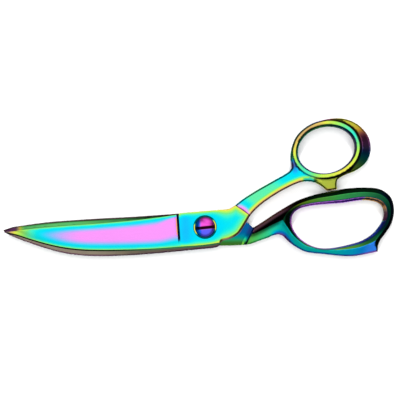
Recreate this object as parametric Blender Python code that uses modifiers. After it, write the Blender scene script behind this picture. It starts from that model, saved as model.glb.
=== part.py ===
"""Tailor's shears, closed and lying flat: two forged halves on one pivot screw.

Frame: +Z up. The origin is on the pivot axis, in the plane that the shears lie on.
The blades point along -X, the bows along +X, and the thumb bow is on the +Y side.
Sizes below are in millimetres, and MM turns them into Blender's metres.
"""

from math import cos, pi, radians, sin, sqrt

import bmesh
import bpy
import numpy as np
from mathutils import Vector

MM = 0.001

# Levels above the table
BOW_THICKNESS = 11.6
BLADE_GAP = 0.3
BOSS_THICKNESS = 4.05
INNER = BOW_THICKNESS / 2
THUMB_INNER = INNER + BLADE_GAP / 2
FINGER_INNER = INNER - BLADE_GAP / 2
THUMB_BOSS_TOP = THUMB_INNER + BOSS_THICKNESS
FINGER_BOSS_BOTTOM = FINGER_INNER - BOSS_THICKNESS

# Pivot
SHOULDER_RADIUS = 3.6
THREAD_RADIUS = 3.0
RUNNING_CLEARANCE = 0.08
SEAT_GAP = 0.15
WASHER_RADIUS = 7.3
WASHER_THICKNESS = 0.55
WASHER_DISH = 0.35
HEAD_RADIUS = 6.3
HEAD_RIM = 0.7
HEAD_DOME = 2.0
SLOT_WIDTH = 1.5
SLOT_DEPTH = 1.2
SLOT_ANGLE = radians(8)
NUT_RADIUS = 5.6
NUT_HEIGHT = 2.5
NUT_NOTCH = 1.5
COUNTERBORE_CLEARANCE = 0.3
NUT_SEAT = NUT_HEIGHT + SEAT_GAP
ROUND_STEPS = 40

# Blades: x along the blade, y of its lines
BOSS_LEFT = -16.2
THUMB_EDGE = [(-123.6, -2.6), (-119, -0.7), (-108, 1.2), (-89.5, 3.1), (-52, 5.3), (-16, 8.0), (-9, 8.9)]
THUMB_BEVEL = [
    (-123.6, -3.0), (-119, -2.9), (-108, -1.4), (-89.5, 0.2), (-64, 2.1), (-40, 4.4), (-16, 7.4), (-9, 8.2),
]
THUMB_RIDGE = [
    (-123.6, -3.1), (-119, -4.0), (-108, -7.4), (-90, -12.0), (-77, -13.5), (-58, -14.0), (-16, -12.2),
    (-9, -11.6),
]
THUMB_SPINE = [
    (-123.6, -3.4), (-119, -5.9), (-108, -10.2), (-90, -15.3), (-75, -17.7), (-55, -17.8), (-16, -15.0),
    (-9, -14.4),
]
FINGER_SPINE = [(-124.2, -2.0), (-119, -0.1), (-108, 1.7), (-89.5, 3.6), (-52, 5.8), (-15, 8.3), (-9, 8.8)]
FINGER_RIDGE = [(-124.2, -2.3), (-119, -1.3), (-108, -0.6), (-89.5, 0.8), (-52, 2.9), (-15, 5.4), (-9, 5.8)]
FINGER_BEVEL = [
    (-124.2, -2.5), (-119, -2.6), (-108, -4.0), (-90, -5.6), (-60, -7.0), (-16, -8.2), (-9, -8.4),
]
FINGER_EDGE = [
    (-124.2, -2.8), (-119, -3.9), (-108, -6.2), (-90, -8.0), (-60, -9.4), (-16, -10.6), (-9, -10.8),
]
BLADE_STATIONS = [-9, -16, -30, -46, -62, -76, -88, -98, -107, -114, -119, -122]
TIP_THICKNESS = 1.5
EDGE_LAND = 0.25
HOLLOW_STEPS = 5

# Outlines of the flat forged stretches; "corner" marks a sharp point
THUMB_BOSS = [
    (BOSS_LEFT, 8.2, "corner"), (0, 9.9), (9.3, 10.7), (15.6, 11.5), (18.7, 13.4, "corner"),
    (28.0, 7.1, "corner"), (24.2, 0.8), (19.8, -5.2), (15, -7.4), (10.4, -9.2), (8.5, -11.9), (5, -12.9),
    (BOSS_LEFT, -14.9, "corner"),
]
THUMB_HANDLE = [
    (14.5, 9.0, "corner"), (21.5, 3.5, "corner"), (28.2, 6.9), (34.5, 13.4), (40.7, 18.3), (49, 23.0),
    (56.5, 26.6), (64.5, 28.1), (71, 26.1), (75.8, 22.3, "corner"), (81.8, 23.4, "corner"), (81.6, 28.9),
    (88.3, 32.7), (96.5, 37.0), (101.2, 42.8), (102.6, 49), (101.2, 55.7), (97, 61.4), (90.1, 65.8),
    (81, 67.3), (71.8, 65.9), (62.4, 61.8), (55.9, 54.9), (53.1, 47), (52.9, 41), (53.6, 36.3), (50.2, 32.9),
    (37.1, 25.5), (27, 19.6), (18.7, 13.4),
]
THUMB_HOLE_CENTRE = (75.0, 47.6)
THUMB_HOLE_RADII = (17.9, 14.3)
THUMB_HOLE_TILT = radians(13.3)
THUMB_HOLE_POINTS = 12
FINGER_BOSS = [
    (BOSS_LEFT, 8.2, "corner"), (-4, 9.1), (7, 9.6), (16, 7.9), (23.5, 4.4), (29.7, -0.5, "corner"),
    (24.8, -10.6, "corner"), (18, -11.3), (4, -11.4), (BOSS_LEFT, -10.6, "corner"),
]
FINGER_HANDLE = [
    (25.6, -1.6, "corner"), (21.2, -8.6, "corner"), (24.4, -10.9), (31, -9.5), (38.9, -6.7), (44.5, -4.7),
    (48, -5.5), (53.1, -10.2), (60.5, -14.7), (71, -16.6), (86.7, -18.0), (99.6, -16.8),
    (106.7, -15.2, "corner"), (107.3, -10.8), (110.2, -5.6), (114.4, 0.6), (116.7, 7), (116.4, 14.4),
    (113, 20.5), (107, 23.8), (96, 24.4), (84, 23.2), (70, 20.7), (58, 16.8), (49.5, 12.1), (39, 5.4),
    (29.7, -0.5),
]
FINGER_HOLE = [
    (53.3, 3.0), (54.6, 8.3), (60.0, 12.0), (70, 13.7), (82, 14.5), (97, 16.6), (106.5, 15.2), (110.5, 9.5),
    (108.5, 2.0), (101.2, -6.2), (90, -10.8), (74.5, -13.3), (63.5, -10.6), (56, -4.2),
]
RIM_ROUNDING = 1.4
RIM_STEPS = 2
OUTLINE_STEPS = 4

# Step lines, where the flat boss ends and the shank begins
THUMB_STEP = ((18.7, 13.4), (28.0, 7.1))
FINGER_STEP = ((29.7, -0.5), (24.8, -10.6))
STEP_REACH = 16
SCOOP_START = 1.6
SCOOP_LENGTH = 30
INNER_SCOOP_DEPTH = 1.2
BACK_STEP_DEPTH = 1.0
INNER_STEP_PAST = 1.5


def clear_scene():
    for obj in list(bpy.data.objects):
        bpy.data.objects.remove(obj)


def new_collection(name):
    collection = bpy.data.collections.new(name)
    bpy.context.scene.collection.children.link(collection)
    return collection


def coated_steel(name, colour, roughness=0.12):
    material = bpy.data.materials.new(name)
    material.use_nodes = True
    shader = material.node_tree.nodes["Principled BSDF"]
    shader.inputs["Base Color"].default_value = (*colour, 1)
    shader.inputs["Metallic"].default_value = 1
    shader.inputs["Roughness"].default_value = roughness
    return material


def mesh_object(name, mesh, collection, material=None):
    obj = bpy.data.objects.new(name, mesh)
    collection.objects.link(obj)
    if material:
        mesh.materials.clear()
        mesh.materials.append(material)
    return obj


def mesh_from(name, points, faces):
    """A closed mesh from points in millimetres, with its faces turned outwards."""
    mesh = bpy.data.meshes.new(name)
    mesh.from_pydata([Vector(p) * MM for p in points], [], faces)
    shape = bmesh.new()
    shape.from_mesh(mesh)
    bmesh.ops.remove_doubles(shape, verts=shape.verts, dist=0.001 * MM)
    bmesh.ops.recalc_face_normals(shape, faces=shape.faces)
    shape.to_mesh(mesh)
    shape.free()
    return mesh


def as_mesh(obj, collection):
    """Turns a curve or an object with modifiers into a plain mesh object with welded caps."""
    bpy.context.view_layer.update()
    evaluated = obj.evaluated_get(bpy.context.evaluated_depsgraph_get())
    mesh = bpy.data.meshes.new_from_object(evaluated)
    mesh.transform(obj.matrix_world)
    shape = bmesh.new()
    shape.from_mesh(mesh)
    bmesh.ops.remove_doubles(shape, verts=shape.verts, dist=0.002 * MM)
    bmesh.ops.recalc_face_normals(shape, faces=shape.faces)
    shape.to_mesh(mesh)
    shape.free()
    name = obj.name
    bpy.data.objects.remove(obj)
    return mesh_object(name, mesh, collection)


def add_outline(curve, points):
    """A closed Bezier spline through the points: smooth, except at those marked as corners."""
    spline = curve.splines.new("BEZIER")
    spline.bezier_points.add(len(points) - 1)
    spline.use_cyclic_u = True
    for knot, point in zip(spline.bezier_points, points):
        knot.co = (point[0] * MM, point[1] * MM, 0)
        kind = "VECTOR" if len(point) > 2 else "AUTO"
        knot.handle_left_type = kind
        knot.handle_right_type = kind


def plate(name, outlines, bottom, top, collection, rounding=0.0):
    """A flat outline, with holes, filled and extruded from bottom to top, with a rounded rim."""
    curve = bpy.data.curves.new(name, "CURVE")
    curve.dimensions = "2D"
    curve.fill_mode = "BOTH"
    curve.resolution_u = OUTLINE_STEPS
    for points in outlines:
        add_outline(curve, points)
    curve.extrude = ((top - bottom) / 2 - rounding) * MM
    curve.bevel_depth = rounding * MM
    curve.offset = -rounding * MM
    curve.bevel_resolution = RIM_STEPS - 1
    obj = bpy.data.objects.new(name, curve)
    obj.location.z = (top + bottom) / 2 * MM
    collection.objects.link(obj)
    return as_mesh(obj, collection)


def cylinder(name, radius, bottom, top, collection, steps=ROUND_STEPS):
    shape = bmesh.new()
    bmesh.ops.create_cone(
        shape, cap_ends=True, segments=steps, radius1=radius * MM, radius2=radius * MM,
        depth=(top - bottom) * MM,
    )
    mesh = bpy.data.meshes.new(name)
    shape.to_mesh(mesh)
    shape.free()
    obj = mesh_object(name, mesh, collection)
    obj.location.z = (top + bottom) / 2 * MM
    return obj


def box(name, centre, size, collection, turn=0.0):
    shape = bmesh.new()
    bmesh.ops.create_cube(shape, size=1)
    bmesh.ops.scale(shape, vec=Vector(size) * MM, verts=shape.verts)
    mesh = bpy.data.meshes.new(name)
    shape.to_mesh(mesh)
    shape.free()
    obj = mesh_object(name, mesh, collection)
    obj.location = Vector(centre) * MM
    obj.rotation_euler.z = turn
    return obj


def turned(name, profile, collection, material):
    """A solid turned about the pivot axis from (radius, height) pairs, from its top to its bottom."""
    mesh = bpy.data.meshes.new(name)
    points = [(radius * MM, 0, height * MM) for radius, height in profile]
    mesh.from_pydata(points, [(i, i + 1) for i in range(len(points) - 1)], [])
    obj = mesh_object(name, mesh, collection, material)
    screw = obj.modifiers.new("turn", "SCREW")
    screw.steps = ROUND_STEPS
    screw.render_steps = ROUND_STEPS
    screw.use_merge_vertices = True
    screw.merge_threshold = 0.00001
    return obj


def boolean(obj, other, operation):
    other.hide_render = True
    other.display_type = "WIRE"
    modifier = obj.modifiers.new(other.name, "BOOLEAN")
    modifier.operation = operation
    modifier.object = other


def line_through(points):
    """y as a function of x along one of a blade's lines."""
    xs, ys = zip(*sorted(points))
    return lambda x: float(np.interp(x, xs, ys))


def blade_section(x, edge, bevel, ridge, spine, inner, away):
    """The section of a blade at x. It is flat on its inner face and hollow ground on the other.

    away is +1 for the blade above the inner plane and -1 for the one below it."""
    share = (x - BLADE_STATIONS[-1]) / (BLADE_STATIONS[0] - BLADE_STATIONS[-1])
    thickness = TIP_THICKNESS + (BOSS_THICKNESS - 0.15 - TIP_THICKNESS) * sqrt(share)
    bevel_height = 0.5 * thickness
    hollow = 0.14 * thickness
    y_edge, y_bevel, y_ridge, y_spine = edge(x), bevel(x), ridge(x), spine(x)
    points = [(y_edge, 0), (y_edge, EDGE_LAND)]
    for i in range(HOLLOW_STEPS + 1):
        t = i / HOLLOW_STEPS
        height = bevel_height + (thickness - bevel_height) * t - hollow * sin(pi * t)
        points.append((y_bevel + (y_ridge - y_bevel) * t, height))
    points += [(y_spine, 0.45 * thickness), (y_spine, 0)]
    return [(x, y, inner + away * height) for y, height in points]


def blade(name, lines, inner, away, tip_x, collection):
    """A blade lofted through its sections and closed at the tip."""
    edge, bevel, ridge, spine = [line_through(points) for points in lines]
    sections = [blade_section(x, edge, bevel, ridge, spine, inner, away) for x in BLADE_STATIONS]
    count = len(sections[0])
    points = [point for section in sections for point in section]
    faces = [list(range(count))]
    for row in range(len(sections) - 1):
        for i in range(count):
            a, b = row * count + i, row * count + (i + 1) % count
            faces.append([a, b, b + count, a + count])
    tip = len(points)
    points.append((tip_x, (edge(tip_x) + spine(tip_x)) / 2, inner + away * EDGE_LAND / 2))
    last = (len(sections) - 1) * count
    faces += [[last + i, last + (i + 1) % count, tip] for i in range(count)]
    return mesh_object(name, mesh_from(name, points, faces), collection)


def step_cutter(name, step, bottom, top, collection, beyond=0.0):
    """A block that covers the boss side of a step line, from bottom to top."""
    start, end = Vector(step[0]), Vector(step[1])
    along = (end - start).normalized()
    outward = Vector((-along.y, along.x))
    if outward.dot(start) < 0:
        outward = -outward
    middle = (start + end) / 2 + outward * (beyond - STEP_REACH)
    centre = (middle.x, middle.y, (bottom + top) / 2)
    size = (2 * STEP_REACH, 2 * STEP_REACH, top - bottom)
    return box(name, centre, size, collection, turn=np.arctan2(outward.y, outward.x))


def scoop_cutter(name, step, level, limit, collection):
    """A scoop that rises from the boss side of a step line until it runs out of the shank."""
    start, end = Vector(step[0]), Vector(step[1])
    along = (end - start).normalized()
    outward = Vector((-along.y, along.x))
    if outward.dot(start) < 0:
        outward = -outward
    middle = (start + end) / 2
    beyond = limit + (3 if limit > level else -3)
    side = [(-6, beyond), (-6, level)]
    for i in range(7):
        t = i / 6
        side.append((SCOOP_LENGTH * t, level + (limit - level) * (1 - cos(t * pi / 2)) * 1.02))
    side.append((SCOOP_LENGTH + 4, beyond))
    points = []
    for width in (-STEP_REACH, STEP_REACH):
        for reach, height in side:
            place = middle + outward * reach + along * width
            points.append((place.x, place.y, height))
    count = len(side)
    faces = [list(range(count)), list(range(2 * count - 1, count - 1, -1))]
    faces += [[i, (i + 1) % count, count + (i + 1) % count, count + i] for i in range(count)]
    return mesh_object(name, mesh_from(name, points, faces), collection)


def ellipse(centre, radii, tilt, count):
    points = []
    for i in range(count):
        angle = 2 * pi * i / count
        x, y = radii[0] * cos(angle), radii[1] * sin(angle)
        turned_x, turned_y = x * cos(tilt) - y * sin(tilt), x * sin(tilt) + y * cos(tilt)
        points.append((centre[0] + turned_x, centre[1] + turned_y))
    return points


def shade(obj, angle=30):
    obj.data.shade_smooth()
    obj.data.set_sharp_from_angle(angle=radians(angle))


def thumb_half(parts, helpers, material):
    """The upper forging: the wide lower blade, the boss over the screw, the shank and the thumb bow."""
    lines = (THUMB_EDGE, THUMB_BEVEL, THUMB_RIDGE, THUMB_SPINE)
    half = blade("thumb_half", lines, THUMB_INNER, 1, THUMB_EDGE[0][0], parts)
    half.data.materials.append(material)
    boss = plate("thumb_boss", [THUMB_BOSS], THUMB_INNER, THUMB_BOSS_TOP, helpers)
    hole = ellipse(THUMB_HOLE_CENTRE, THUMB_HOLE_RADII, THUMB_HOLE_TILT, THUMB_HOLE_POINTS)
    handle = plate("thumb_handle", [THUMB_HANDLE, hole], 0, BOW_THICKNESS, helpers, RIM_ROUNDING)
    below = step_cutter("below_thumb_boss", THUMB_STEP, -5, THUMB_INNER, helpers, beyond=INNER_STEP_PAST)
    above = step_cutter("above_thumb_boss", THUMB_STEP, THUMB_BOSS_TOP - 1.0, 20, helpers)
    scoop = scoop_cutter("thumb_scoop", THUMB_STEP, THUMB_BOSS_TOP - SCOOP_START, BOW_THICKNESS, helpers)
    inner_scoop = scoop_cutter("thumb_inner_scoop", THUMB_STEP, FINGER_BOSS_BOTTOM + 0.6, 0, helpers)
    for cutter in (below, above, scoop, inner_scoop):
        boolean(handle, cutter, "DIFFERENCE")
    handle = as_mesh(handle, helpers)
    boolean(half, boss, "UNION")
    boolean(half, handle, "UNION")
    bore = cylinder("thumb_bore", SHOULDER_RADIUS + RUNNING_CLEARANCE, -1, 20, helpers)
    boolean(half, bore, "DIFFERENCE")
    half = as_mesh(half, parts)
    shade(half)
    return half


def finger_half(parts, helpers, material):
    """The lower forging: the narrow upper blade, the boss over the nut, the shank and the finger bow."""
    lines = (FINGER_EDGE, FINGER_BEVEL, FINGER_RIDGE, FINGER_SPINE)
    half = blade("finger_half", lines, FINGER_INNER, -1, FINGER_EDGE[0][0], parts)
    half.data.materials.append(material)
    boss = plate("finger_boss", [FINGER_BOSS], FINGER_BOSS_BOTTOM, FINGER_INNER, helpers)
    handle = plate("finger_handle", [FINGER_HANDLE, FINGER_HOLE], 0, BOW_THICKNESS, helpers, RIM_ROUNDING)
    above = step_cutter("above_finger_boss", FINGER_STEP, FINGER_INNER, 20, helpers)
    below = step_cutter("below_finger_boss", FINGER_STEP, -5, FINGER_BOSS_BOTTOM + BACK_STEP_DEPTH, helpers)
    scoop = scoop_cutter("finger_scoop", FINGER_STEP, FINGER_BOSS_BOTTOM + SCOOP_START, 0, helpers)
    scoop_floor = THUMB_BOSS_TOP - INNER_SCOOP_DEPTH
    inner_scoop = scoop_cutter("finger_inner_scoop", FINGER_STEP, scoop_floor, BOW_THICKNESS, helpers)
    for cutter in (above, below, scoop, inner_scoop):
        boolean(handle, cutter, "DIFFERENCE")
    handle = as_mesh(handle, helpers)
    boolean(half, boss, "UNION")
    boolean(half, handle, "UNION")
    bore = cylinder("finger_bore", THREAD_RADIUS + RUNNING_CLEARANCE, -1, 20, helpers)
    counterbore = cylinder("nut_counterbore", NUT_RADIUS + COUNTERBORE_CLEARANCE, -1, NUT_SEAT, helpers)
    boolean(half, bore, "DIFFERENCE")
    boolean(half, counterbore, "DIFFERENCE")
    half = as_mesh(half, parts)
    shade(half)
    return half


def pivot_screw(parts, helpers, material):
    """A domed, slotted head, a plain shoulder through the thumb half and a threaded end in the nut."""
    seat = THUMB_BOSS_TOP + WASHER_THICKNESS + WASHER_DISH + 2 * SEAT_GAP
    rim = seat + HEAD_RIM
    dome = [(HEAD_RADIUS * sin(a), rim + HEAD_DOME * cos(a)) for a in np.linspace(0, pi / 2, 8)]
    shoulder_end = FINGER_INNER + BLADE_GAP / 2
    profile = dome + [
        (HEAD_RADIUS, seat),
        (SHOULDER_RADIUS, seat),
        (SHOULDER_RADIUS, shoulder_end),
        (THREAD_RADIUS, shoulder_end),
        (THREAD_RADIUS, 0.3),
        (THREAD_RADIUS - 0.3, 0),
        (0, 0),
    ]
    screw = turned("pivot_screw", profile, parts, material)
    slot_floor = rim + HEAD_DOME - SLOT_DEPTH
    slot_size = (4 * HEAD_RADIUS, SLOT_WIDTH, 4)
    slot = box("screw_slot", (0, 0, slot_floor + 2), slot_size, helpers, turn=SLOT_ANGLE)
    boolean(screw, slot, "DIFFERENCE")
    screw = as_mesh(screw, parts)
    shade(screw)
    return screw


def spring_washer(parts, material):
    """A dished washer that keeps the halves pressed together under the screw head."""
    low = THUMB_BOSS_TOP + SEAT_GAP
    bore = SHOULDER_RADIUS + RUNNING_CLEARANCE
    profile = [
        (bore, low + WASHER_THICKNESS + WASHER_DISH),
        (WASHER_RADIUS, low + WASHER_THICKNESS),
        (WASHER_RADIUS, low),
        (bore, low + WASHER_DISH),
        (bore, low + WASHER_THICKNESS + WASHER_DISH),
    ]
    washer = as_mesh(turned("spring_washer", profile, parts, material), parts)
    shade(washer)
    return washer


def lock_nut(parts, helpers, material):
    """A round nut, sunk into the finger half, with two notches for a pin spanner."""
    profile = [
        (THREAD_RADIUS + RUNNING_CLEARANCE, NUT_HEIGHT),
        (NUT_RADIUS, NUT_HEIGHT),
        (NUT_RADIUS, 0.4),
        (NUT_RADIUS - 0.4, 0),
        (THREAD_RADIUS + RUNNING_CLEARANCE, 0),
        (THREAD_RADIUS + RUNNING_CLEARANCE, NUT_HEIGHT),
    ]
    nut = turned("lock_nut", profile, parts, material)
    for side in (-1, 1):
        notch = box(f"nut_notch_{side}", (side * NUT_RADIUS, 0, 0), (2.4, NUT_NOTCH, 1.6), helpers)
        boolean(nut, notch, "DIFFERENCE")
    nut = as_mesh(nut, parts)
    shade(nut)
    return nut


def main():
    clear_scene()
    parts = new_collection("tailors_shears")
    helpers = new_collection("helpers")
    helpers.hide_render = True
    cyan = coated_steel("coated_steel_cyan", (0.02, 0.62, 0.78))
    green = coated_steel("coated_steel_green", (0.05, 0.42, 0.30))
    pink = coated_steel("coated_steel_pink", (0.72, 0.30, 0.72))
    blue = coated_steel("coated_steel_blue", (0.05, 0.16, 0.50), roughness=0.2)
    thumb_half(parts, helpers, cyan)
    finger_half(parts, helpers, green)
    pivot_screw(parts, helpers, pink)
    spring_washer(parts, blue)
    lock_nut(parts, helpers, blue)


main()
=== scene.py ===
"""Looks of the tailor's shears: two mirror-polished forged halves with a rainbow coating, lying closed.

Shapes are drawn in millimetres, in the row's frame: +X runs towards the bows, +Y towards the thumb bow and
+Z towards the screw head. The origin is on the pivot axis, in the plane that the shears lie on.
"""

import bmesh
import bpy
import numpy as np
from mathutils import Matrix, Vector
from mathutils.geometry import delaunay_2d_cdt
from mathutils.kdtree import KDTree


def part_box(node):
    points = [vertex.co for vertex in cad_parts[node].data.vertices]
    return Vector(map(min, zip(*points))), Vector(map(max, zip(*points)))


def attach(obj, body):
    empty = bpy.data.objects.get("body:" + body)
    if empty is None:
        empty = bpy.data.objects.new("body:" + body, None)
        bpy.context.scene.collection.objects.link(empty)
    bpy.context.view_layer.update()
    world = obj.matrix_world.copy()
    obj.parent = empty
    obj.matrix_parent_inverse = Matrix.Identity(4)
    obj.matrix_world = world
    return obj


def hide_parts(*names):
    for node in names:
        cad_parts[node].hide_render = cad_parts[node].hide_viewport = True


MM = 0.001
# What is painted on the forgings: place on the rainbow, painted shade and light that stand in for the
# reflections' brightness, and how much pink lies over it
COAT_ATTRIBUTES = ("film", "shade", "blush")
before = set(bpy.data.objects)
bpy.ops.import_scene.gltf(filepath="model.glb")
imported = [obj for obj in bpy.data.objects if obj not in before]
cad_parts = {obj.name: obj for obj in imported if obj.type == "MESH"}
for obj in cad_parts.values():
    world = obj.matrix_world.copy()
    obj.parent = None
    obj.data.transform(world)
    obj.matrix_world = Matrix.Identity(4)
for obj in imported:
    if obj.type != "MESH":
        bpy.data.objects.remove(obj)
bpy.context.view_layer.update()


def node_box(name):
    """Lowest and highest corner of a node, in millimetres."""
    low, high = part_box(name)
    return np.array(low) / MM, np.array(high) / MM


# Levels, taken from the frame
THICKNESS = node_box("thumb_half")[1][2]
SCREW_TOP = node_box("pivot_screw")[1][2]
SCREW_RADIUS = node_box("pivot_screw")[1][0]
WASHER_BOTTOM = node_box("spring_washer")[0][2]
WASHER_TOP = node_box("spring_washer")[1][2]
WASHER_RADIUS = node_box("spring_washer")[1][0]
NUT_TOP = node_box("lock_nut")[1][2]
NUT_RADIUS = node_box("lock_nut")[1][0]
SEAT_GAP = 0.15
BLADE_GAP = 0.3
BOSS_THICKNESS = WASHER_BOTTOM - SEAT_GAP - (THICKNESS + BLADE_GAP) / 2
THUMB_INNER = (THICKNESS + BLADE_GAP) / 2
FINGER_INNER = (THICKNESS - BLADE_GAP) / 2
MIDDLE = THICKNESS / 2
SHOULDER_RADIUS = 3.6
THREAD_RADIUS = 3.0
RUNNING_CLEARANCE = 0.08
NUT_SEAT = NUT_TOP + SEAT_GAP
COUNTERBORE_CLEARANCE = 0.3

# Blade lines, as (x, y) from the tip to the boss
THUMB_EDGE = [
    (-124.2, -2.7), (-119, -0.8), (-108, 1.1), (-89.5, 3.0), (-64.8, 4.5), (-40, 6.0), (-15.8, 8.0),
]
THUMB_BEVEL = [
    (-124.2, -3.0), (-119, -2.7), (-108, -1.3), (-89.5, 0.4), (-64.8, 2.2), (-40, 4.5), (-24.7, 6.5),
    (-15.8, 7.85),
]
THUMB_RIDGE = [
    (-124.2, -3.1), (-119, -3.9), (-108, -7.2), (-98.7, -9.9), (-89.5, -12.0), (-77, -13.6), (-64.8, -14.0),
    (-52.4, -13.9), (-33.9, -13.3), (-15.4, -12.0), (3.1, -10.4), (10.5, -9.2),
]
THUMB_SPINE = [
    (-124.2, -3.3), (-119, -5.8), (-108, -10.0), (-101.8, -12.1), (-95.6, -14.0), (-89.5, -15.6),
    (-83.3, -16.8),
    (-77.1, -17.5), (-64.8, -18.0), (-52.4, -17.7), (-43.2, -17.3), (-24.7, -15.8), (-3.1, -13.7),
    (3.1, -13.1),
]
FINGER_SPINE = [
    (-124.8, -1.9), (-119, -0.1), (-113.5, 0.8), (-98.7, 2.8), (-77.1, 4.5), (-40.1, 6.6), (-15, 8.4),
]
FINGER_RIDGE = [(-124.8, -2.2), (-119, -1.3), (-108, -0.6), (-89.5, 0.8), (-52, 2.9), (-15, 5.4)]
FINGER_BEVEL = [(-124.8, -2.4), (-119, -2.6), (-108, -4.0), (-90, -5.6), (-60, -7.0), (-15, -8.2)]
FINGER_EDGE = [(-124.8, -2.7), (-119, -3.9), (-108, -6.2), (-90, -8.0), (-60, -9.4), (-15, -10.6)]

# The rest of each outline, on from the lower line of its blade; "corner" marks a sharp point
THUMB_OUTLINE = [
    (6.6, -12.6), (8.4, -11.9), (9.3, -10.8), (10.4, -9.0), (14.9, -7.5), (18.4, -5.9), (21, -3.9),
    (23.1, -1),
    (25.7, 3.2), (27.9, 6.9), (31.5, 11), (35, 14.1), (40.7, 18.2), (47.8, 22.5), (56.5, 26.7), (60, 27.9),
    (63.6, 28.2), (67.1, 27.7), (70.6, 26.2), (73.6, 24), (75.6, 22.3, "corner"),
    (81.6, 23.4, "corner"), (81.4, 27), (82, 29.3),
    (84.1, 30.9), (92.9, 34.8), (96.8, 37.3), (100, 40.5), (101.8, 44.4), (102.5, 48), (102.3, 51.5),
    (101.1, 55.7),
    (98.2, 60), (94.3, 63.5), (90.1, 65.7), (84.8, 67.1), (81, 67.25), (72, 65.9), (67.1, 64.4),
    (62.4, 61.8),
    (58.6, 58.6), (55.7, 54.7), (54, 50.4), (53.1, 46.5), (52.8, 42.6), (53.5, 38.4), (53.6, 36.6),
    (52.4, 34.8),
    (49.5, 32.7), (44.2, 29.7), (28.3, 20.5), (23, 17), (18.6, 13.4, "corner"), (15.4, 11.5),
    (9.3, 10.7), (0, 9.9),
    (-9.3, 9.1), (-15.8, 8.5, "corner"),
]
FINGER_OUTLINE = [
    (-4, -11.1), (9.9, -11.5), (22.9, -11.1), (26.5, -10.8), (33.6, -8.5), (38.9, -6.6), (43.1, -4.9),
    (45.6, -4.6), (47.8, -5.3), (49.9, -7.3), (53.1, -10.2), (57.4, -13), (61.6, -15.1), (66, -16),
    (73.5, -16.7),
    (80.2, -17.5), (86.7, -18), (93.1, -17.8), (99.6, -16.7), (106.7, -15.2, "corner"), (107, -11.4),
    (107.9, -9),
    (111.9, -3.3), (114.4, 0.6), (116.2, 5.1), (116.9, 9.6), (116.5, 14.1), (115.1, 18), (112.5, 20.9),
    (109.3, 22.9), (106, 23.9), (99.6, 24.4), (93.1, 24.3), (86.7, 23.7), (76.8, 21.8), (68.7, 20.2),
    (62.3, 18.3),
    (55.8, 15.7), (49.5, 12.1), (44.2, 8.9), (33.6, 1.9), (29.7, -0.5, "corner"), (26.5, 2.5), (22.5, 5.2),
    (16, 7.8), (7, 9.3), (-4, 9.1), (-14, 8.5),
]
FINGER_HOLE = [
    (53.4, 4.5), (54.2, 7.7), (56.1, 9.9), (59, 11.6), (62.3, 12.5), (67.4, 13.4), (75.2, 14.1),
    (86.7, 15.1),
    (93.1, 16.1), (98.3, 16.6), (102.8, 16.2), (106.7, 15.1), (109.3, 13.1), (110.4, 10.3), (110.6, 6.7),
    (109.6, 3.5), (107.3, -0.1), (104.7, -3.3), (101.2, -6.2), (96.4, -8.8), (89.9, -10.8), (83.4, -12.3),
    (78.4, -13.1), (73.5, -13.3), (68.7, -12.6), (63.9, -10.7), (60, -8.1), (56.5, -4.6), (54.2, -0.7),
]
THUMB_HOLE_CENTRE = np.array([75.0, 47.6])
THUMB_HOLE_RADII = np.array([17.9, 14.3])
THUMB_HOLE_TILT = np.radians(13.3)

# Where the flat boss ends: at a leaning wall against the hollow of the blade, and at a step against the shank
WALL_FOOT, WALL_TOP = -17.2, -15.7
WALL_LEAN = 0.065
THUMB_STEP = ((18.6, 13.4), (27.9, 6.9))
FINGER_STEP = ((29.7, -0.5), (24.8, -10.7))
STEP_WIDTH = 0.5
FINGER_STEP_WIDTH = 0.9
THUMB_INNER_STEP_PAST = 1.5
RIGHT_OF_PIVOT = 5

# Blade section
TIP_X = -124.2
TIP_THICKNESS = 1.5
EDGE_LAND = 0.25
DARK_EDGE_SHARE = 0.36
HOLLOW_DEPTH = 0.32
BACK_CHAMFER = 1.0
BACK_CHAMFER_DEPTH = 0.9
FILLET_LENGTH = 3.0
STRIP_WIDTH = 0.95
STRIP_DROP = 1.05
SPINE_EDGE_SHARE = 0.42

# Screw head
DOME_RADIUS = 5.5
SLOT_DEPTH = 1.5
SLOT_WIDTH = 1.6
SLOT_OFFSET = -0.3
SLOT_TURN = np.radians(6)
# Turn of the line through the washer's two painted glints
GLINT_TURN = np.radians(12)

# Fineness of the meshes
FINE = 0.1
RIM_SPACING = 0.7
FILL_SPACING = 0.8
SMALLEST_GAP = 0.28
FILL_GAP = 0.55
CREASE_SPACING = 0.85
RIM_MARGIN = 0.12
SHARP_CORNER = 0.86
THINNEST = 0.05
EDGE_RINGS = (0.1, 0.25, 0.5, 0.85, 1.25, 1.6)
HOLE_RINGS = (0.12, 0.3, 0.55, 0.85, 1.1, 1.6, 2.2, 2.8, 3.2, 3.6)


# ---------------------------------------------------------------- curves and distances


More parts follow.
